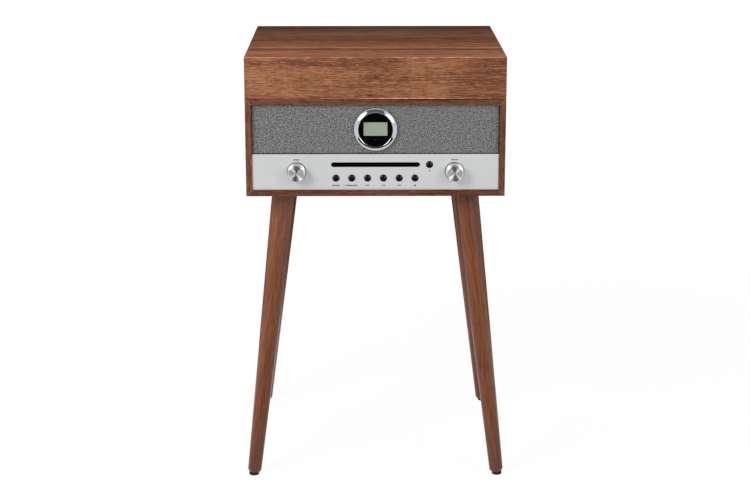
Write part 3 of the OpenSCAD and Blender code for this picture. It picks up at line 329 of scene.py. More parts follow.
class Nodes:
    """The nodes of a world or a material. A value that is given as a socket is joined, and any other is set."""

    def __init__(self, owner):
        owner.use_nodes = True
        self.tree = owner.node_tree
        self.tree.nodes.clear()

    def join(self, node, sockets):
        for key, value in sockets.items():
            if isinstance(value, bpy.types.NodeSocket):
                self.tree.links.new(value, node.inputs[key])
            else:
                node.inputs[key].default_value = value

    def add(self, kind, sockets=None, **settings):
        node = self.tree.nodes.new("ShaderNode" + kind)
        for key, value in settings.items():
            setattr(node, key, value)
        self.join(node, sockets or {})
        return node

    def object(self):
        return self.add("TexCoord").outputs["Object"]

    def put(self, vector, scale=(1, 1, 1), turn=(0, 0, 0), shift=(0, 0, 0)):
        return self.add("Mapping", {"Vector": vector, "Location": shift, "Rotation": turn, "Scale": scale}).outputs[0]

    def noise(self, vector, scale, detail=2.0, rough=0.5):
        """Noise whose scale is a number, or one for each axis, in cycles a metre."""
        if not isinstance(scale, (int, float)):
            vector, scale = self.put(vector, scale), 1.0
        sockets = {"Vector": vector, "Scale": scale, "Detail": detail, "Roughness": rough}
        return self.add("TexNoise", sockets).outputs[0]

    def cloud(self, *noise):
        """Noise over the piece's own coordinates."""
        return self.noise(self.object(), *noise)

    def sum(self, a, b, how="ADD", c=0.0):
        return self.add("Math", {0: a, 1: b, 2: c}, operation=how).outputs[0]

    def times(self, a, b):
        return self.sum(a, b, "MULTIPLY")

    def blend(self, a, share, b):
        """A share of a and the rest of b."""
        return self.sum(self.times(a, share), self.times(b, 1 - share))

    def vector(self, how, a, b=(0, 0, 0)):
        node = self.add("VectorMath", {0: a, 1: b}, operation=how)
        return node.outputs["Value" if how in ("LENGTH", "DOT_PRODUCT") else "Vector"]

    def step(self, value, low, high, start=0.0, end=1.0):
        sockets = {"Value": value, "From Min": low, "From Max": high, "To Min": start, "To Max": end}
        return self.add("MapRange", sockets, interpolation_type="SMOOTHSTEP").outputs[0]

    def between(self, value, a, b):
        return self.add("Mix", {0: value, 2: a, 3: b}).outputs[0]

    def vary(self, value, middle, share):
        """From the middle less a share to the middle and a share."""
        return self.step(value, 0.3, 0.7, middle * (1 - share), middle * (1 + share))

    def shades(self, value, shade, low, high, reach=0.2):
        """From the shade times low to the shade times high, over a reach to both sides of 0.5."""
        return self.ramp(value, (0.5 - reach, tone(shade, low)), (0.5 + reach, tone(shade, high)))

    def ramp(self, value, *stops):
        node = self.add("ValToRGB", {"Fac": value})
        while len(node.color_ramp.elements) < len(stops):
            node.color_ramp.elements.new(0.5)
        for mark, (place, shade) in zip(node.color_ramp.elements, stops):
            mark.position, mark.color = place, tone(shade)
        return node.outputs[0]

    def mix(self, factor, a, b, how="MIX"):
        return self.add("Mix", {0: factor, 6: a, 7: b}, data_type="RGBA", blend_type=how).outputs[2]

    def bump(self, height, distance, strength=1.0):
        return self.add("Bump", {"Height": height, "Distance": distance, "Strength": strength}).outputs[0]


class Finish(Nodes):
    """A material with one principled shader."""

    def __init__(self, name, roughness, gloss=0.5, more=None):
        self.material = bpy.data.materials.new(name)
        super().__init__(self.material)
        sockets = {"Roughness": roughness, "Specular IOR Level": gloss, **(more or {})}
        self.shader = self.add("BsdfPrincipled", sockets)
        self.output = self.add("OutputMaterial", {"Surface": self.shader.outputs[0]})

    def done(self, **sockets):
        """Joins the shader's colour, roughness and normal, and gives the material."""
        names = {"colour": "Base Color", "roughness": "Roughness", "normal": "Normal", "tangent": "Tangent"}
        self.join(self.shader, {names[key]: value for key, value in sockets.items()})
        return self.material


def once(build):
    """A finish is made when a piece first asks for it, and shared after that."""
    made = {}

    def ask(*words):
        if words not in made:
            made[words] = build(*words)
        return made[words]
    return ask


GRAIN = {"x": (0, 0, 0), "y": (0, 0, -math.pi / 2), "z": (0, math.pi / 2, 0)}


def walnut(name, middle, grain, shift, ends=None, contrast=1.0, flecks=1.0, flame=0.0, gloss=0.15, rough=0.52,
           figure=0.26, wide=1.0, spots=()):
    """Walnut veneer: long figure of a given share, streaks, thin lines, short flecks and open pores, all stretched
    along the grain, with ripples across it where flame is more than 0. Wide spreads them across the grain, and ends
    names the grain of the faces that look forwards. Spots are (place, reach, share), where the board is lighter or
    darker by exp(-sum of ((p - place) / reach) squared). A reach of 0 leaves that axis out, and a share can be a
    number or one for each of red, green and blue."""
    f = Finish(name, rough, gloss)
    if grain == "leg":
        along = f.put(f.add("Attribute", attribute_name="grain").outputs["Vector"], shift=shift)
    else:
        along = f.put(f.object(), turn=GRAIN[grain], shift=shift)
        if ends:
            facing = f.add("SeparateXYZ", {0: f.add("TexCoord").outputs["Normal"]}).outputs["Y"]
            forward = f.sum(f.sum(facing, 0.0, "ABSOLUTE"), 0.7, "GREATER_THAN")
            turned_grain = f.put(f.object(), turn=GRAIN[ends], shift=shift)
            along = f.add("Mix", {0: forward, 4: along, 5: turned_grain}, data_type="VECTOR").outputs[1]
    drift = f.add("TexNoise", {"Vector": f.put(along, (4, 11, 11)), "Scale": 1.0, "Detail": 3.0}).outputs["Color"]
    drift = f.vector("MULTIPLY", f.vector("SUBTRACT", drift, (0.5, 0.5, 0.5)), (0.0, 0.018, 0.018))
    warped = f.put(f.vector("ADD", along, drift), (1, 1 / wide, 1 / wide))
    patch = f.noise(along, (7, 15, 15), 1.0)
    ripple = f.times(f.noise(warped, (210, 40, 40), 1.0), f.step(patch, 0.45, 0.6))
    fleck = f.noise(warped, (80, 560, 560), 2.0, 0.65)
    layers = ((f.noise(warped, (1.1, 42, 42), 2.0, 0.5), figure), (f.noise(warped, (5, 170, 170), 3.0, 0.6), 0.26),
              (f.noise(warped, (24, 600, 600), 1.0), 0.36), (fleck, 0.48 * flecks), (patch, 0.08))
    value = f.times(ripple, 0.20 * flame)
    for layer, share in layers:
        value = f.sum(layer, share, "MULTIPLY_ADD", value)
    middle_value = 0.5 * sum(share for layer, share in layers) + 0.05 * flame
    reach = 0.15 / contrast
    value = f.step(value, middle_value - reach, middle_value + reach)
    red, green, blue = tuple(middle)[:3]

    def shade_of(share, warm):
        """The middle tone times a share, with its green and blue raised by the warmth."""
        return red * share, green * share * warm, blue * share * warm

    shade = f.ramp(value, (0.0, shade_of(0.52, 0.88)), (0.3, shade_of(0.80, 0.94)), (0.62, shade_of(1.07, 1.0)),
                   (1.0, shade_of(1.42, 1.06)))
    hue = f.step(f.noise(warped, (5, 30, 30), 2.0), 0.38, 0.62)
    shade = f.mix(1.0, shade, f.mix(hue, (0.99, 0.94, 0.88, 1.0), (1.01, 1.03, 1.01, 1.0)), "MULTIPLY")
    pores = f.step(f.noise(warped, (75, 620, 620), 1.0), 0.56, 0.66)
    glints = f.step(f.noise(warped, (95, 600, 600), 1.0), 0.56, 0.66)
    shade = f.mix(f.times(glints, 0.6 * flecks), shade, shade_of(1.75, 1.06) + (1.0,))
    shade = f.mix(f.times(pores, 0.75 * flecks), shade, shade_of(0.42, 0.84) + (1.0,))
    # Spots lighten or darken the board by place. Besides the wood's own patches and knots, they carry painted
    # highlights on edges and painted shade, given where walnut is called.
    for place, size, share in spots:
        scale = tuple(1 / r if r else 0.0 for r in size)
        off = f.vector("MULTIPLY", f.vector("SUBTRACT", f.object(), place), scale)
        near = f.sum(math.e, f.times(f.vector("DOT_PRODUCT", off, off), -1.0), "POWER")
        shade = f.mix(near, shade, f.mix(1.0, shade, tuple(np.broadcast_to(share, 3)) + (1.0,), "MULTIPLY"))
    rough = f.step(value, 0.0, 1.0, rough * 1.12, rough * 0.88)
    height = f.sum(pores, -0.7, "MULTIPLY_ADD", f.times(fleck, 0.3))
    return f.done(colour=shade, roughness=rough, normal=f.bump(height, 0.05 * MM, 0.6))


@once
def heather():
    """Grille cloth in plain weave: warp and weft threads cross over and under, and each short length of
    thread has its own grey."""
    front = bpy.context.scene.music_front
    f = Finish("heather cloth", 0.95, 0.1, {"Sheen Weight": 0.1})
    uv = f.put(f.add("UVMap", uv_map="turn").outputs[0], (1 / front.thread,) * 3)
    u, v = f.add("SeparateXYZ", {0: uv}).outputs[:2]
    row, column = f.sum(v, 0.0, "FLOOR"), f.sum(u, 0.0, "FLOOR")
    over = f.sum(f.sum(row, column), 2.0, "FLOORED_MODULO")

    def grey(thread, run, seed):
        """A random grey for each thread and each stretch of about three crossings along it."""
        offset = f.add("TexWhiteNoise", {"W": f.sum(thread, seed)}, noise_dimensions="1D").outputs[0]
        stretch = f.sum(f.sum(f.times(run, 0.34), f.times(offset, 9.0)), 0.0, "FLOOR")
        cell = f.add("CombineXYZ", {0: thread, 1: stretch, 2: seed}).outputs[0]
        return f.add("TexWhiteNoise", {"Vector": cell}, noise_dimensions="3D").outputs[0]

    warp, weft = grey(column, v, 3.5), grey(row, u, 11.5)
    value = f.between(over, warp, weft)
    slub = f.step(f.noise(uv, 0.45, 2.0, 0.7), 0.41, 0.59)
    shade = f.mix(f.blend(value, 0.45, slub), tone(front.cloth_dark), tone(front.cloth_light))

    def crown(x):
        """|sin(pi x)|, the round back of a thread."""
        return f.sum(f.sum(f.times(x, math.pi), 0.0, "SINE"), 0.0, "ABSOLUTE")

    height = f.between(over, crown(u), crown(v))
    # Painted shade: the low places between the threads' crowns are darkened towards the dark thread.
    shade = f.mix(f.step(height, 0.0, 0.5, 0.35, 0.0), shade, tone(front.cloth_dark, 0.4))
    return f.done(colour=shade, normal=f.bump(height, 0.2 * MM, 0.7))


@once
def silver_paint():
    """Satin silver paint with a fine flake."""
    front = bpy.context.scene.music_front
    f = Finish("silver paint", 0.42, 0.4, {"Metallic": 0.25})
    flake = f.cloud(2600, 1.0)
    cloud = f.cloud(9, 1.0)
    shade = f.shades(f.blend(flake, 0.7, cloud), front.panel, 0.95, 1.05, 0.15)
    return f.done(colour=shade, roughness=f.step(flake, 0.3, 0.7, 0.38, 0.46), normal=f.bump(flake, 0.01 * MM, 0.3))


@once
def metal(name, shade, roughness, brush=(400, 400, 400), depth=0.01, stain=0.0):
    """Bare or plated metal: brush marks stretched by three scales, and faint stains."""
    f = Finish(name, roughness, more={"Metallic": 1.0})
    marks = f.cloud(brush, 2.0)
    cloud = f.cloud(60, 3.0)
    rough = f.vary(f.blend(marks, 0.6, cloud), roughness, 0.25)
    return f.done(colour=f.shades(cloud, shade, 1 - stain, 1), roughness=rough, normal=f.bump(marks, depth * MM, 0.4))


@once
def spun(name, shade, roughness, strength):
    """Metal turned on a lathe: fine rings round the axis, which spread highlights across them."""
    f = Finish(name, roughness, more={"Metallic": 1.0, "Anisotropic": strength, "Anisotropic Rotation": 0.25})
    uv = f.add("UVMap", uv_map="turn").outputs[0]
    rings = f.noise(f.put(uv, (0, 5200, 1)), 1.0, 1.0)
    tangent = f.add("Tangent", direction_type="UV_MAP", uv_map="turn").outputs[0]
    return f.done(colour=f.shades(rings, shade, 0.94, 1), roughness=f.vary(rings, roughness, 0.1),
                  normal=f.bump(rings, 0.012 * MM, 0.5), tangent=tangent)


@once
def plastic(name, shade, roughness, grain=1800, depth=0.02, gloss=0.5):
    """Moulded plastic: an even colour with a faint cloud, and a grain that is fine on gloss and coarse on
    matte."""
    f = Finish(name, roughness, gloss)
    pits = f.cloud(grain, 2.0)
    cloud = f.cloud(35, 2.0)
    return f.done(colour=f.shades(cloud, shade, 0.9, 1.1), roughness=f.vary(pits, roughness, 0.15),
                  normal=f.bump(pits, depth * MM, 0.5))


@once
def board_stuff(name, shade, speckle):
    """Pressed fibre: short fibres in all directions, with lighter and darker specks."""
    f = Finish(name, 0.82, 0.2)
    fibres = f.cloud((260, 700, 260), 4.0, 0.7)
    specks = f.cloud(1300, 1.0)
    value = f.blend(fibres, 0.6, specks)
    shade = f.shades(value, shade, 1 - speckle, 1 + speckle, 0.15)
    return f.done(colour=shade, normal=f.bump(value, 0.08 * MM, 0.6))


@once
def felt():
    """Pressed felt: tangled fibres and a soft sheen."""
    deck = bpy.context.scene.music_deck
    f = Finish("felt", 1.0, 0.05, {"Sheen Weight": 0.5, "Sheen Roughness": 0.6})
    fibres = f.cloud(1500, 5.0, 0.75)
    tufts = f.cloud(160, 2.0)
    value = f.blend(fibres, 0.7, tufts)
    return f.done(colour=f.shades(value, deck.felt, 0.6, 1.35), normal=f.bump(value, 0.3 * MM, 0.8))


@once
def circuit_green():
    """Solder resist over traces: a square net of lines, broken up at random."""
    f = Finish("circuit board", 0.35)
    cells = f.add("TexVoronoi", {"Vector": f.object(), "Scale": 420.0}, distance="MANHATTAN").outputs["Distance"]
    lines = f.step(f.cloud((900, 900, 120), 1.0), 0.5, 0.56)
    shade = f.mix(f.step(cells, 0.15, 0.2), tone(linear(150, 150, 120)), tone(linear(26, 82, 48)))
    shade = f.mix(f.times(lines, 0.5), shade, tone(linear(52, 118, 74)))
    return f.done(colour=shade, normal=f.bump(lines, 0.03 * MM, 0.6))


@once
def display_face():
    """Unlit display: a pale green grey with a faint net of dots."""
    front = bpy.context.scene.music_front
    f = Finish("display", 0.4, 0.25)
    dots = f.add("TexVoronoi", {"Vector": f.object(), "Scale": 1700.0}, distance="CHEBYCHEV").outputs["Distance"]
    cloud = f.cloud(45, 2.0)
    shade = f.shades(f.blend(dots, 0.3, cloud), front.display, 0.94, 1.06)
    return f.done(colour=shade, normal=f.bump(dots, 0.01 * MM, 0.3))


# The plain finishes: what makes each, its colour in bytes, and its other values
STOCK = {
    "gloss black": (plastic, (12, 12, 13), 0.2, 900, 0.004, 0.4),
    "textured black": (plastic, (30, 30, 31), 0.55, 2400, 0.05, 0.35),
    "rubber": (plastic, (24, 24, 24), 0.8, 1500, 0.04, 0.25),
    "black flock": (plastic, (7, 7, 7), 1.0, 2600, 0.08, 0.05),
    "grey ink": (plastic, (30, 31, 33), 0.6, 2000, 0.005, 0.2),
    "glue line": (plastic, (170, 130, 100), 0.6, 1500, 0.01, 0.2),
    "black glass": (plastic, (6, 6, 8), 0.05, 200, 0.001, 0.3),
    "dark window": (plastic, (30, 26, 26), 0.1, 300, 0.001, 0.5),
    "red plastic": (plastic, (150, 34, 30), 0.4, 1200, 0.01, 0.4),
    "silver plastic": (plastic, (196, 197, 199), 0.35, 1500, 0.01, 0.5),
    "socket_ring_left": (plastic, (222, 222, 218), 0.3, 900, 0.005, 0.5),
    "socket_ring_right": (plastic, (176, 30, 28), 0.3, 900, 0.005, 0.5),
    "chrome": (metal, (194, 196, 199), 0.07, (300, 300, 300), 0.001, 0.02),
    "zinc plate": (metal, (176, 178, 182), 0.34, (500, 500, 90), 0.01, 0.15),
    "black zinc": (metal, (78, 78, 82), 0.42, (700, 700, 700), 0.02, 0.2),
    "brass": (metal, (206, 172, 100), 0.3, (90, 600, 600), 0.01, 0.25),
    "satin aluminium": (metal, (204, 205, 208), 0.3, (600, 60, 600), 0.008, 0.06),
    "spun aluminium": (spun, (240, 241, 243), 0.32, 0.94),
    "black platter": (spun, (62, 62, 64), 0.4, 0.3),
    "back board": (board_stuff, (52, 46, 43), 0.3),
    "baffle board": (board_stuff, (92, 74, 60), 0.25),
    "speaker paper": (board_stuff, (42, 42, 44), 0.3),
}


def material(finish):
    """The plain finish of that name, or the material itself."""
    if not isinstance(finish, str):
        return finish
    make, shade, *values = STOCK[finish]
    return make(finish, linear(*shade), *values)


# Pieces


def dress_all(*rows):
    """Gives each node its finish, from rows of what dress is told."""
    for row in rows:
        dress(*row)


class MUSIC_OT_stage(bpy.types.Operator):
    """Makes the floor, the light and the camera"""
    bl_idname = "music.stage"
    bl_label = "Stage"
    bl_options = {"REGISTER", "UNDO"}

    def lamp(self, name, place, aim, power, size):
        light = bpy.data.lights.new(name, "AREA")
        light.shape, light.size, light.size_y, light.energy = "RECTANGLE", size, size, power
        lamp = link(name, light)
        lamp.location = place
        lamp.rotation_euler = (Vector(aim) - Vector(place)).to_track_quat("-Z", "Y").to_euler()

    def card(self, name, glow, points):
        """A card that only gloss and metal show, dark or glowing, so that they have something to reflect."""
        mesh = bpy.data.meshes.new(name)
        mesh.from_pydata(points, [], [(0, 1, 2, 3)])
        f = Finish(name, 0.9, 0.0, {"Base Color": (0.012, 0.012, 0.013, 1.0), "Emission Color": (glow,) * 3 + (1.0,),
                                    "Emission Strength": 1.0})
        mesh.materials.append(f.done(normal=f.bump(f.cloud(900, 2.0), 0.05 * MM)))
        card = link(name, mesh)
        card.visible_camera = card.visible_diffuse = card.visible_transmission = card.visible_shadow = False

    def seen(self, f):
        """1 for the rays that show the background: from the camera, in gloss and through glass."""
        rays = f.add("LightPath").outputs
        kinds = f.sum(rays["Is Camera Ray"], rays["Is Glossy Ray"], "MAXIMUM")
        return f.sum(kinds, rays["Is Transmission Ray"], "MAXIMUM")

    def execute(self, context):
        scene = context.scene
        look = scene.music_stage
        white = (1.0, 1.0, 1.0, 1.0)
        scene.view_settings.view_transform = "Standard"
        scene.world = bpy.data.worlds.new("studio")
        f = Nodes(scene.world)
        sky = f.mix(self.seen(f), (look.sky,) * 3 + (1.0,), white)
        f.add("OutputWorld", {"Surface": f.add("Background", {"Color": sky, "Strength": 1.0}).outputs[0]})

        g = Finish("white floor", 0.9, 0.0, {"Base Color": (0.9, 0.9, 0.9, 1.0)})
        glow = g.add("Emission", {"Color": white, "Strength": 1.045})
        far = g.step(g.vector("LENGTH", g.object()), 0.6, 2.5)
        share = g.times(self.seen(g), g.between(far, look.floor, 1.0))
        both = g.add("MixShader", {0: share, 1: g.shader.outputs[0], 2: glow.outputs[0]})
        g.join(g.output, {"Surface": both.outputs[0]})
        x, y = np.meshgrid(np.linspace(-16, 16, 9), np.linspace(-12, 20, 9), indexing="ij")
        ground = surface("ground", np.stack([x, y, 0 * x], -1)[::-1], closed=False)
        ground.materials.append(g.material)
        link("ground", ground)

        for name, glow, *points in (
                ("floor_flag", 0.0, (-0.7, -3.6, 0.01), (0.7, -3.6, 0.01), (0.7, -0.5, 0.01), (-0.7, -0.5, 0.01)),
                ("rear_floor_flag", 0.03, (-3, 0.5, 0.01), (3, 0.5, 0.01), (3, 3.5, 0.01), (-3, 3.5, 0.01)),
                ("front_flag", 0.0, (-0.6, -3.6, 0.02), (0.6, -3.6, 0.02), (0.6, -3.5, 1.4), (-0.6, -3.5, 1.4)),
                ("sky_flag", 0.17, (-1, -3.4, 1.4), (1, -3.4, 1.4), (2, -1.6, 4.2), (-2, -1.6, 4.2)),
                ("right_card", 7.0, (1.5, -2.7, 1.1), (2.6, -1.9, 1.1), (2.6, -1.9, 2.2), (1.5, -2.7, 2.2)),
                ("back_flag", 0.0, (2.4, 1.9, 0.7), (-2.4, 1.9, 0.7), (-2.4, 1.9, 4.5), (2.4, 1.9, 4.5))):
            self.card(name, glow, points)
        self.lamp("key", (-1.9, -2.2, 1.9), (0, 0, 0.5), look.key, 1.3)
        self.lamp("fill", (2.0, -2.2, 1.5), (0, 0, 0.45), look.fill, 1.2)
        optics = bpy.data.cameras.new("camera")
        optics.lens, optics.sensor_width = 84.1, 36
        scene.camera = link("camera", optics)
        scene.camera.location = (-0.0194, -2.68425, 1.0129)
        scene.camera.rotation_euler = (math.radians(90 - 14.633), 0, math.radians(-0.4247))
        return {"FINISHED"}


class MUSIC_OT_lid(bpy.types.Operator):
    """Finishes the four boards of the lid"""
    bl_idname = "music.lid"
    bl_label = "Lid"
    bl_options = {"REGISTER", "UNDO"}

    def execute(self, context):
        wood = context.scene.music_wood
        edge = wood.edge / MM
        low, high = corners("lid_front")
        face, seam, crest = float(low[1]), float(low[2]), float(high[2])
        back = float(corners("lid_top")[1][1])
        # On the lid top, the spot at the back (share 0.46) is painted shade, darker towards the back, and the spot at
        # the front (share 1.55) is painted light, lighter towards the front.
        dress("lid_top", walnut(
            "walnut lid top", wood.lid_top, "x", (3.1, 0.2, 0.4), contrast=1.3, flecks=0.4, gloss=0.1, wide=2.6,
            spots=(((0, back, 0), (0, 0.12, 0), 0.46), ((0, -0.073, 0), (0, 0.0034, 0), 1.65),
                   ((-0.08, -0.026, 0), (0.09, 0.003, 0), 1.35), ((0.02, -0.094, 0), (0, 0.011, 0), 0.55),
                   ((0, -0.150, 0), (0, 0.009, 0), 0.80), ((0, face, 0), (0, 0.10, 0), 1.55),
                   ((0, face + 0.003, 0), (0, 0.0026, 0), 0.55))), edge)
        knot = (0.36, 0.28, 0.22)
        dress("lid_front", walnut(
            "walnut lid front", wood.lid_front, "x", (0.4, 1.3, 0.7), contrast=1.25, flecks=0.9, flame=0.6, wide=0.72,
            figure=0.14,
            # On the lid front, the first spot is a painted highlight along the top edge, and the second is a painted
            # highlight along the lower edge at the seam.
            spots=(((0, face, crest), (0, 0.0020, 0.0012), (2.2, 2.9, 3.5)),
                   ((0.05, face, seam), (0.13, 0.0014, 0.0009), (4.6, 5.8, 6.8)),
                   ((0, 0, 0.6146), (0.0044, 0, 0.0024), knot), ((0.0035, 0, 0.6035), (0.0060, 0, 0.0060), 1.28),
                   ((-0.0080, 0, 0.5880), (0.0036, 0, 0.0020), knot), ((-0.17, 0, 0.602), (0.035, 0, 0.013), 1.12),
                   ((-0.068, 0, 0.611), (0.03, 0, 0.012), 1.14), ((-0.105, 0, 0.603), (0.014, 0, 0.012), 0.84),
                   # The last spot is painted shade, darker towards the right end of the lid front.
                   ((0.20, 0, 0), (0.12, 0, 0), 0.88))), edge)
        dress("lid_back", walnut("walnut lid back", wood.lid_front, "x", (2.2, 0.9, 0.1), flame=0.5), edge)
        lighter_case = [1.15 * c for c in wood.case]
        dress("lid_sides", walnut("walnut lid sides", lighter_case, "y", (1.7, 0.3, 0.6), flame=0.3), edge)
        return {"FINISHED"}


class MUSIC_OT_case(bpy.types.Operator):
    """Finishes the boards of the case and its back panel"""
    bl_idname = "music.case"
    bl_label = "Case"
    bl_options = {"REGISTER", "UNDO"}

    def execute(self, context):
        dress_all(("back_panel", "back board", 0.3, 2), ("wood_screws", "black zinc"))
        wood = context.scene.music_wood
        edge = wood.edge / MM
        front = float(corners("side_boards")[0][1])
        # The spot on the side boards is painted shade, darker on the front of the right side board.
        dress("side_boards", walnut("walnut sides", wood.case, "y", (0.9, 2.1, 0.3), ends="z", flecks=0.7,
                                    spots=(((0.20, front, 0), (0.08, 0.01, 0), 0.70),)), edge)
        dress("bottom_board", walnut("walnut bottom", wood.rail, "x", (1.9, 0.4, 1.2), flecks=0.7), edge)
        # The spot on the rails is painted shade, a dark line just under the seam of the lid.
        dress("top_rails", walnut("walnut rails", wood.rail, "x", (0.7, 1.6, 2.0), contrast=1.2, flecks=0.8,
                                  spots=(((0.10, 0, 0.5818), (0.10, 0, 0.0018), 0.4),)), edge)
        self.mitres()
        self.recesses()
        return {"FINISHED"}

    def mitres(self):
        """Painted highlights along the mitre joints: lines 8.4 mm long and 0.24 mm wide, across the four front
        corners from 0.7 mm inside them.
        """
        low, high = corners("bottom_board")
        lines = []
        for side in (-1, 1):
            for up, z in ((1, low[2]), (-1, corners("side_boards")[1][2])):
                way, half = np.array([-side, up]) * MM, np.array([up, side]) * 0.12 * MM
                start = (side * high[0], z) + way * 0.7
                end = start + way * 8.4
                lines.append(prism("line", [start - half, start + half, end + half, end - half],
                                   low[1] - 0.02 * MM, low[1] + 0.3 * MM))
        show(seal(joined("mitre_lines", lines), True), "glue line")

    def recesses(self):
        """Dark crosses in the heads of the back panel's screws, painted shade of their cross recesses. The screws
        stand 30.6 mm from the panel's sides and 4.2 mm from its top and foot."""
        low, high = corners("back_panel")
        bar = np.array([(-1.7, -0.35), (1.7, -0.35), (1.7, 0.35), (-1.7, 0.35)]) * MM
        head = float(corners("wood_screws")[1][1])
        outer, rise = high[0] - 30.6 * MM, 4.2 * MM
        shade_crosses = [prism("cut", bar @ np.array(turn) + (share * outer, z), head - 0.4 * MM, head + 0.05 * MM)
                for share in (-1, -1 / 3, 1 / 3, 1) for z in (low[2] + rise, high[2] - rise)
                for turn in (((1, 0), (0, 1)), ((0, 1), (-1, 0)))]
        show(joined("screw_recess_shade", shade_crosses), "rubber")


class MUSIC_OT_legs(bpy.types.Operator):
    """Makes the four turned legs, their plates and their foot pads"""
    bl_idname = "music.legs"
    bl_label = "Legs"
    bl_options = {"REGISTER", "UNDO"}

    def leg(self, top, foot, pad, wood, number):
        """A leg along its axis from top to foot: P(s, a) = top + s w + r(s) (u cos a + v sin a), with r(s)
        straight from seat to chamfer. Its first and last rings are cut level, where
        s = -r (u_z cos a + v_z sin a) / w_z above, and the same plus the drop to the pad below."""
        w = (foot - top) / np.linalg.norm(foot - top)
        u = np.cross((0, 1, 0), w)
        u /= np.linalg.norm(u)
        v = np.cross(w, u)
        size = np.linalg.norm(foot - top)
        a = np.arange(64) * 2 * np.pi / 64
        spread = np.cos(a)[:, None] * u + np.sin(a)[:, None] * v
        r_top, r_foot, r_end = wood.leg_top / 2, wood.leg_foot / 2, wood.leg_foot / 2 - 2.4 * MM
        s_end, s_chamfer, s_seat = size - pad + 0.6 * MM, size - pad - 3.6 * MM, 7 * MM
        cut = -spread[:, 2] / w[2]
        s = np.vstack([r_top * cut + wood.leg_plate, np.linspace(s_seat, s_chamfer, 40)[:, None] + 0 * a,
                       np.linspace(s_chamfer, s_end, 4)[1:-1, None] + 0 * a,
                       np.minimum(s_end, (pad - top[2]) / w[2] + r_end * cut)])
        r = np.interp(s, (s_seat, s_chamfer, s_end), (r_top, r_foot, r_end))
        points = top + s[..., None] * w + r[..., None] * spread
        caps = (points[0].mean(0), points[-1].mean(0))
        points = np.concatenate([np.broadcast_to(caps[0], points[:1].shape), points,
                                 np.broadcast_to(caps[1], points[:1].shape)])
        mesh = surface("leg", points[::-1])
        local = points[::-1] - top
        grain = np.stack([local @ w + number * 1.7, local @ u + number * 0.31, local @ v], -1)
        carrier = mesh.attributes.new("grain", "FLOAT_VECTOR", "POINT")
        carrier.data.foreach_set("vector", grain.astype(np.float32).ravel())
        return seal(mesh)

    def places(self, node, inset, z):
        """Points at the height z that lie an inset inside the four corners of a node."""
        low, high = corners(node)
        reach = (high - low)[:2] / 2 - inset
        return [np.append(centre(node)[:2] + reach * way, z) for way in ((-1, -1), (1, -1), (-1, 1), (1, 1))]

    def execute(self, context):
        dress("foot_pads", "rubber", 0.3)
        wood = context.scene.music_wood
        pads_top, case_foot = float(corners("foot_pads")[1][2]), float(corners("bottom_board")[0][2])
        plate_half, pad_r = 31 * MM, 7.5 * MM
        outline = tile(2 * plate_half, 2 * plate_half, 6 * MM, 6)
        legs, plates = [], []
        tops, feet = self.places("leg_plates", plate_half, case_foot), self.places("foot_pads", pad_r, 0)
        for number, (top, foot) in enumerate(zip(tops, feet)):
            legs.append(self.leg(top, foot, pads_top, wood, number))
            plate = prism("plate", outline, 0, wood.leg_plate)
            plate.transform(Matrix.Translation(top - (0, 0, wood.leg_plate)) @ Matrix.Rotation(math.pi / 2, 4, "X"))
            plates.append(seal(plate, True))
        # The spot on the legs is painted shade, darker towards the floor.
        finish = walnut("walnut legs", wood.legs, "leg", (0.3, 0.8, 0.5), contrast=0.8, flecks=0.3,
                        gloss=0.32, rough=0.24, spots=(((0, 0, 0), (0, 0, 0.11), 0.7),))
        show(joined("turned_legs", legs), finish, "legs", sharp=20)
        show(joined("mounting_plates", plates), "black zinc", "leg_plates")
        return {"FINISHED"}


class MUSIC_OT_cloth(bpy.types.Operator):
    """Stretches the grille cloth over the baffle"""
    bl_idname = "music.cloth"
    bl_label = "Speaker cloth"
    bl_options = {"REGISTER", "UNDO"}

    def execute(self, context):
        low, high = corners("speaker_cloth")
        bezel = centre("display_bezel")
        hole = float(corners("display_lens")[1][0]) + 2.6 * MM
        x0, x1, z0, z1 = low[0] - bezel[0], high[0] - bezel[0], low[2] - bezel[2], high[2] - bezel[2]
        # From a round hole to the rim, P(t, j) = hole + (rim - hole) t^1.3, and then a quarter turn back over the
        # edge: inwards by roll (1 - sin b) and back by roll (1 - cos b)
        side = np.linspace(0, 1, 60, endpoint=False)[:, None]
        ends = np.array([(x1, z0), (x1, z1), (x0, z1), (x0, z0)])
        rim = np.vstack([p + (q - p) * side for p, q in zip(ends, np.roll(ends, -1, 0))])
        inner = hole * rim / np.linalg.norm(rim, axis=1, keepdims=True)
        share = np.linspace(0, 1, 30)[:, None, None] ** 1.3
        flat = inner + (rim - inner) * share
        roll = 0.6 * MM
        bend = np.linspace(0, np.pi / 2, 5)[1:, None, None]
        inward = rim * (1 - roll * (1 - np.sin(bend)) / np.abs(rim).max(1, keepdims=True))
        flat[-1] = rim * (1 - roll / np.abs(rim).max(1, keepdims=True))
        outline = np.concatenate([flat, inward, inward[-1:]])
        y = low[1] + np.concatenate([np.zeros(30), roll * (1 - np.cos(bend[:, 0, 0])), [1.0 * MM]])
        points = np.stack([outline[..., 0] + bezel[0], np.broadcast_to(y[:, None], outline.shape[:2]),
                           outline[..., 1] + bezel[2]], -1)
        wrapped = np.concatenate([outline, outline[:, :1]], 1)
        mesh = surface("grille_cloth", points, wrapped)
        if sum(p.normal.y * p.area for p in mesh.polygons) > 0:
            mesh.flip_normals()
        cloth = show(mesh, heather(), "speaker_cloth", sharp=60)
        modify(cloth, "thickness", "SOLIDIFY", thickness=0.5 * MM, offset=-1)
        flat = (float(x1 - x0 + 2 * MM), float(z1 - z0 + 2 * MM))
        return {"FINISHED"}


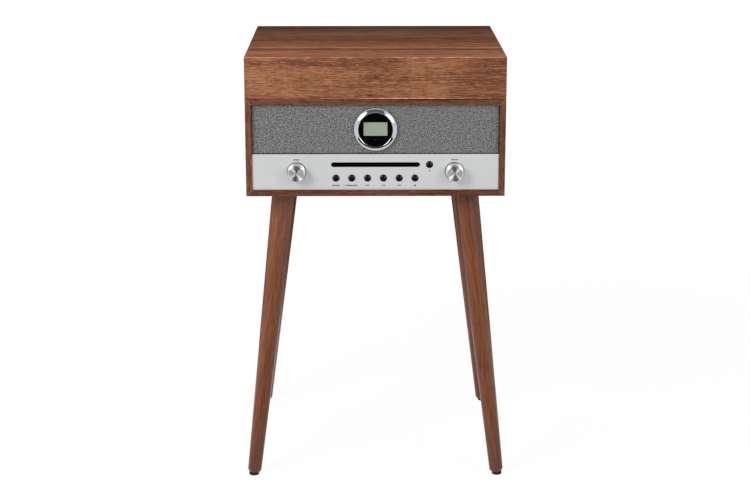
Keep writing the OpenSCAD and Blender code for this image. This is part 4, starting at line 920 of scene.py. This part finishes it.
class MUSIC_OT_display(bpy.types.Operator):
    """Makes the chrome ring, the black glass and the display behind it"""
    bl_idname = "music.display"
    bl_label = "Display"
    bl_options = {"REGISTER", "UNDO"}

    def execute(self, context):
        face = corners("display_lens")[0][1]
        place = centre_at("display_bezel", face)
        outer, glass = extent("display_bezel") / 2, extent("display_lens") / 2
        out = (face - corners("display_bezel")[0][1]) / MM
        lip = glass - 1.2
        steep, gentle = math.radians(46), math.radians(14)
        # The crown is an arc whose slope a falls from steep to gentle: r and d grow with bend sin a and bend cos a
        slope = np.linspace(steep, gentle, 14)[:, None]
        bend = (outer - lip - 1.5) / (math.sin(steep) - math.sin(gentle))
        crown = np.hstack([lip + 1.1 + bend * (np.sin(slope) - math.sin(gentle)),
                           out + bend * (np.cos(slope) - math.cos(gentle))])
        inner = rounded([crown[-1], (lip + 0.7, out - 0.2), (lip, 0.5), (lip, 0.1)], (0.4, 0.3), 5)[1:]
        profile = np.vstack([[(glass + 0.3, -12), (glass + 2.2, -12), (glass + 2.2, -0.02), (outer - 0.3, -0.02),
                              (outer, 0.3), (outer, crown[0, 1] - 0.6)], crown, inner,
                             [(glass + 0.3, 0.1), (glass + 0.3, -12)]])
        show(turned("chrome_ring", profile, place, segments=192), "chrome", "display_bezel", sharp=40)
        disc = [(0, -2), (glass - 0.3, -2), (glass, -1.7), (glass, -0.3), (glass - 0.3, 0), (0, 0)]
        show(turned("display_glass", disc, place, segments=128), "black glass", "display_lens")
        window = tile(*context.scene.music_front.window, 0.5 * MM) + place[[0, 2]]
        show(prism("display_window", window, place[1] - 0.06 * MM, corners("lcd_module")[0][1]), display_face(),
             "lcd_module")
        eye = [(0, -1), (1.1, -1), (1.1, 0.02), (0.8, 0.1), (0, 0.14)]
        show(turned("receiver_window", eye, place - (0, 0, 16.5 * MM), segments=32), "dark window")
        return {"FINISHED"}


class MUSIC_OT_panel(bpy.types.Operator):
    """Finishes the silver panel, lines the disc slot and prints the marks"""
    bl_idname = "music.panel"
    bl_label = "Control panel"
    bl_options = {"REGISTER", "UNDO"}

    def execute(self, context):
        front = context.scene.music_front
        dress("control_panel", silver_paint(), 0.25, 2)
        face = panel_face()
        slot_z = centre("button_eject")[2]
        wide, tall = front.slot_width, front.slot_height
        loop, inner = (stadium(wide - less * MM, tall - less * MM, 12) for less in (0.04, 0.9))
        rows = [(loop, 0.35 * MM), (loop, 9 * MM), (inner, 9 * MM), (inner, 0.35 * MM)]
        points = np.array([[[x, face + d, z + slot_z] for x, z in ring] for ring, d in rows])
        show(seal(surface("slot_liner", points, ends=True), True), "black flock")
        x0, x1 = wide / 2 - 1.2 * MM, wide / 2 - 2.6 * MM
        z0, z1 = 0.15 * MM, 3.1 * MM
        upper = np.array([(-x0, z0), (x0, z0), (x1, z1), (-x1, z1)]) + (0, slot_z)
        lower = np.array([(-x1, -z1), (x1, -z1), (x0, -z0), (-x0, -z0)]) + (0, slot_z)
        lips = [prism("lip", flap, face + 5.2 * MM, face + 5.6 * MM) for flap in (upper, lower)]
        show(joined("slot_lips", lips), "black flock")
        show(joined("panel_marks", self.marks(face)), "grey ink")
        return {"FINISHED"}

    def marks(self, face):
        """Small plates of ink: arrows, bars and a square under the keys, and rows of bars for the other words."""
        def bar(x, z, width, height):
            return [(x - width / 2, z - height / 2), (x + width / 2, z - height / 2), (x + width / 2, z + height / 2),
                    (x - width / 2, z + height / 2)]

        def arrow(x, z, width, height):
            """Points to the right for a positive width."""
            tip = [(x - width / 2, z - height / 2), (x + width / 2, z), (x - width / 2, z + height / 2)]
            return tip if width > 0 else tip[::-1]

        def word(*widths, dot=False):
            gap = 0.45
            at, shapes = -(sum(widths) + gap * (len(widths) - 1)) / 2, []
            if dot:
                shapes.append(bar(at - 2.1, 0, 0.9, 1.0))
            for width in widths:
                shapes.append(bar(at + width / 2, 0, width, 1.5))
                at += width + gap
            return shapes

        signs = {
            "button_source": word(1.9, 1.4, 2.0, 1.5, 1.3, dot=True),
            "button_function": word(1.6, 2.5, 1.9, 2.1, 1.5, 2.4, 1.8, dot=True),
            "button_previous": [bar(-2.1, 0, 0.7, 2.1), arrow(-0.8, 0, -2.0, 2.1), arrow(1.2, 0, -2.0, 2.1)],
            "button_play": [arrow(-1.1, 0, 2.2, 2.1), bar(0.9, 0, 0.8, 2.1), bar(2.1, 0, 0.8, 2.1)],
            "button_next": [arrow(-1.2, 0, 2.0, 2.1), arrow(0.8, 0, 2.0, 2.1), bar(2.1, 0, 0.7, 2.1)],
            "button_stop": [bar(0, 0, 2.4, 2.1)],
            "button_eject": [[(-1.4, -0.1), (1.4, -0.1), (0, 1.5)], bar(0, -0.8, 2.8, 0.5)],
            "tuning_knob": word(1.5, 1.9, 1.1, 1.8, 1.2),
            "volume_knob": word(1.9, 1.2, 1.5, 1.4, 1.7),
        }
        rises = {"button_eject": -9.0, "tuning_knob": 17.6, "volume_knob": 17.6}
        plates = []
        for node, shapes in signs.items():
            middle = centre(node)[[0, 2]] + (0, rises.get(node, -10.9) * MM)
            plates += [prism("mark", np.array(shape) * MM + middle, face - 0.05 * MM, face + 0.05 * MM)
                       for shape in shapes]
        return plates


class MUSIC_OT_buttons(bpy.types.Operator):
    """Makes the seven domed buttons"""
    bl_idname = "music.buttons"
    bl_label = "Buttons"
    bl_options = {"REGISTER", "UNDO"}

    def execute(self, context):
        face = panel_face()
        r, out = context.scene.music_front.cap / MM, (face - corners("button_play")[0][1]) / MM
        # A dome: d falls from its crest by 1.15 s^2.4 at the radius r s
        share = np.linspace(0.97, 0, 12)[:, None]
        dome = np.hstack([r * share, out - 1.15 * share ** 2.4])
        rim = [(0, -4.6), (r + 1, -4.6), (r + 1, -3.0), (r, -2.8), (r, out - 1.3)]
        for key in ("source", "function", "previous", "play", "next", "stop", "eject"):
            node = "button_" + key
            cap = turned("key_" + key, np.vstack([rim, dome]), centre_at(node, face), segments=64)
            show(cap, "gloss black", node, sharp=50)
        return {"FINISHED"}


class MUSIC_OT_knobs(bpy.types.Operator):
    """Makes the two turned knobs and finishes their shafts"""
    bl_idname = "music.knobs"
    bl_label = "Knobs"
    bl_options = {"REGISTER", "UNDO"}

    def execute(self, context):
        dress_all(("tuning_shaft", "zinc plate"), ("volume_shaft", "zinc plate"))
        front = context.scene.music_front
        k, b = front.knob / MM, front.knob_base / MM
        face = panel_face()
        out = (face - corners("tuning_knob")[0][1]) / MM
        corner = rounded([(0, 1.0), (k + 0.9, 1.0), (k + 0.9, 2.8), (k + 0.1, out - 0.9), (k - 0.9, out),
                          (k - 1.4, out)], (0.2, 0.3, 0.4, 0.3), 5)
        profile = np.vstack([corner, [(k - 1.5, out - 0.05), (0, out - 0.5)]])
        # A black ring round each knob's foot, outside the dial: painted shadow that stands in for the shaded gap
        # between the knob and the panel.
        painted_shadow_ring = rounded([(k - 1, 0.5), (b, 0.5), (b, 2.4), (k + 1.0, 2.4), (k - 1, 2.4), (k - 1, 0.5)], 0.4, 4)
        for name in ("tuning", "volume"):
            node = name + "_knob"
            place = centre_at(node, face)
            show(turned(name + "_dial", profile, place, segments=128), "spun aluminium", node, sharp=24)
            show(turned(name + "_skirt", painted_shadow_ring, place), "textured black", body=BODY[node])
        return {"FINISHED"}


class MUSIC_OT_deck(bpy.types.Operator):
    """Makes the platter, lays its mat and finishes the deck"""
    bl_idname = "music.deck"
    bl_label = "Record deck"
    bl_options = {"REGISTER", "UNDO"}

    def execute(self, context):
        dress_all(("deck_plate", "textured black"), ("arm_rest", "textured black", 0.4),
                  ("platter_spindle", "zinc plate"), ("drive_belt", "rubber"), ("motor_pulley", "brass"),
                  ("turntable_motor", "zinc plate"))
        deck = context.scene.music_deck
        axis, foot, seat = centre("platter"), corners("platter")[0][2], corners("slip_mat")[0][2]
        r, tall = deck.platter / MM, extent("platter", 2)
        rim = rounded([(3.6, tall - 2.5), (r - 3.2, tall - 2.5), (r - 2.8, 0.2), (r - 0.8, 0.2), (r, 1.0), (r, 3.2),
                       (r - 0.7, 3.8), (r - 0.7, 8.0), (r, 8.6), (r, tall - 0.8), (r - 1.0, tall), (3.6, tall),
                       (3.6, tall - 2.5)], 0.4, 3)
        show(turned("cast_platter", rim, (axis[0], axis[1], foot), "up", 180), "black platter", "platter")
        m, t = extent("slip_mat") / 2, deck.mat / MM
        edge = rounded([(3.9, 0), (m, 0), (m, t), (3.9, t), (3.9, 0)], 0.5, 4)
        mat = show(turned("felt_mat", edge, (axis[0], axis[1], seat), "up", 160), felt(), "slip_mat", sharp=60)
        return {"FINISHED"}


class MUSIC_OT_tonearm(bpy.types.Operator):
    """Finishes the tonearm, its base, its lifter and its cartridge"""
    bl_idname = "music.tonearm"
    bl_label = "Tonearm"
    bl_options = {"REGISTER", "UNDO"}

    def execute(self, context):
        dress_all(("tonearm_base", "textured black"), ("tonearm_yoke", "satin aluminium", 0.3),
                  ("tonearm_tube", "satin aluminium"), ("headshell", "textured black"), ("cartridge", "red plastic"),
                  ("cue_lifter", "textured black"), ("cue_lever", "gloss black", 0.3))
        # The counterweight, with nine grooves round it for the fingers
        r, deep = extent("counterweight") / 2, extent("counterweight", 1)
        groove = ((0, 3.0), (-0.35, 3.3), (-0.35, 3.6), (0, 3.9))
        grooves = [(r + less, 0.9 * k + d) for k in range(9) for less, d in groove]
        profile = [(3.5, 0), (r - 0.8, 0), (r, 0.8), (r, 1.6), (r - 0.5, 1.9), (r - 0.5, 2.4), *grooves,
                   (r, deep - 0.8), (r - 0.8, deep), (3.5, deep), (3.5, 0)]
        place = centre_at("counterweight", corners("counterweight")[0][1])
        show(turned("balance_weight", profile, place, "back"), "black zinc", "counterweight", sharp=25)
        return {"FINISHED"}


class MUSIC_OT_switches(bpy.types.Operator):
    """Finishes the two deck switches and the power rocker"""
    bl_idname = "music.switches"
    bl_label = "Switches"
    bl_options = {"REGISTER", "UNDO"}

    def execute(self, context):
        dress_all(("speed_switch", "silver plastic", 0.25), ("auto_stop_switch", "silver plastic", 0.25),
                  ("power_rocker", "gloss black", 0.3))
        return {"FINISHED"}


class MUSIC_OT_rear(bpy.types.Operator):
    """Finishes the sockets at the rear"""
    bl_idname = "music.rear"
    bl_label = "Rear sockets"
    bl_options = {"REGISTER", "UNDO"}

    def execute(self, context):
        dress_all(("rca_jacks", "brass"), ("power_inlet", "textured black", 0.25))
        ring = rounded([(1.7, -0.05), (3.4, -0.05), (3.4, 0.3), (1.7, 0.3), (1.7, -0.05)], 0.12, 3)
        middle = centre_at("rca_jacks", corners("rca_jacks")[1][1])
        for name, x in (("socket_ring_left", -8 * MM), ("socket_ring_right", 8 * MM)):
            show(turned(name, ring, middle + (x, 0, 0), "back", 48), name)
        return {"FINISHED"}


class MUSIC_OT_hardware(bpy.types.Operator):
    """Finishes the hinges and the lid stay"""
    bl_idname = "music.hardware"
    bl_label = "Hinges and stay"
    bl_options = {"REGISTER", "UNDO"}

    def execute(self, context):
        dress_all(("case_hinge_leaves", "brass"), ("lid_hinge_leaves", "brass"), ("stay_arm", "zinc plate", 0.2),
                  ("stay_pivot", "zinc plate"), ("stay_stud", "zinc plate"))
        return {"FINISHED"}


class MUSIC_OT_inside(bpy.types.Operator):
    """Finishes what lies inside the case"""
    bl_idname = "music.inside"
    bl_label = "Inside"
    bl_options = {"REGISTER", "UNDO"}

    def execute(self, context):
        dress_all(("front_baffle", "baffle board", 0.3, 2), ("speaker_drivers", "speaker paper"),
                  ("cd_mechanism", "black zinc"), ("cd_hub", "textured black"), ("cd_roller", "rubber"))
        dress("circuit_boards", circuit_green())
        return {"FINISHED"}


class MUSIC_PT_pieces(bpy.types.Panel):
    """Lists the makers in the order in which they run"""
    bl_idname = "MUSIC_PT_pieces"
    bl_label = "Stereo music centre"
    bl_space_type = "VIEW_3D"
    bl_region_type = "UI"
    bl_category = "Music Centre"

    def draw(self, context):
        for maker in MAKERS:
            self.layout.operator(maker.bl_idname)


SETTINGS = {"music_wood": WoodSettings, "music_front": FrontSettings, "music_deck": DeckSettings,
            "music_stage": StageSettings}
MAKERS = (MUSIC_OT_stage, MUSIC_OT_lid, MUSIC_OT_case, MUSIC_OT_legs, MUSIC_OT_cloth, MUSIC_OT_display,
          MUSIC_OT_panel, MUSIC_OT_buttons, MUSIC_OT_knobs, MUSIC_OT_deck, MUSIC_OT_tonearm, MUSIC_OT_switches,
          MUSIC_OT_rear, MUSIC_OT_hardware, MUSIC_OT_inside)


def register():
    for cls in (*SETTINGS.values(), *MAKERS, MUSIC_PT_pieces):
        bpy.utils.register_class(cls)
    for name, group in SETTINGS.items():
        setattr(bpy.types.Scene, name, PointerProperty(type=group))


def unregister():
    for name in SETTINGS:
        delattr(bpy.types.Scene, name)
    for cls in reversed((*SETTINGS.values(), *MAKERS, MUSIC_PT_pieces)):
        bpy.utils.unregister_class(cls)


def main():
    """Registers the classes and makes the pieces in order."""
    register()
    for maker in MAKERS:
        getattr(bpy.ops.music, maker.bl_idname.split(".")[1])()
    bpy.context.view_layer.update()


if __name__ == "__main__":
    main()
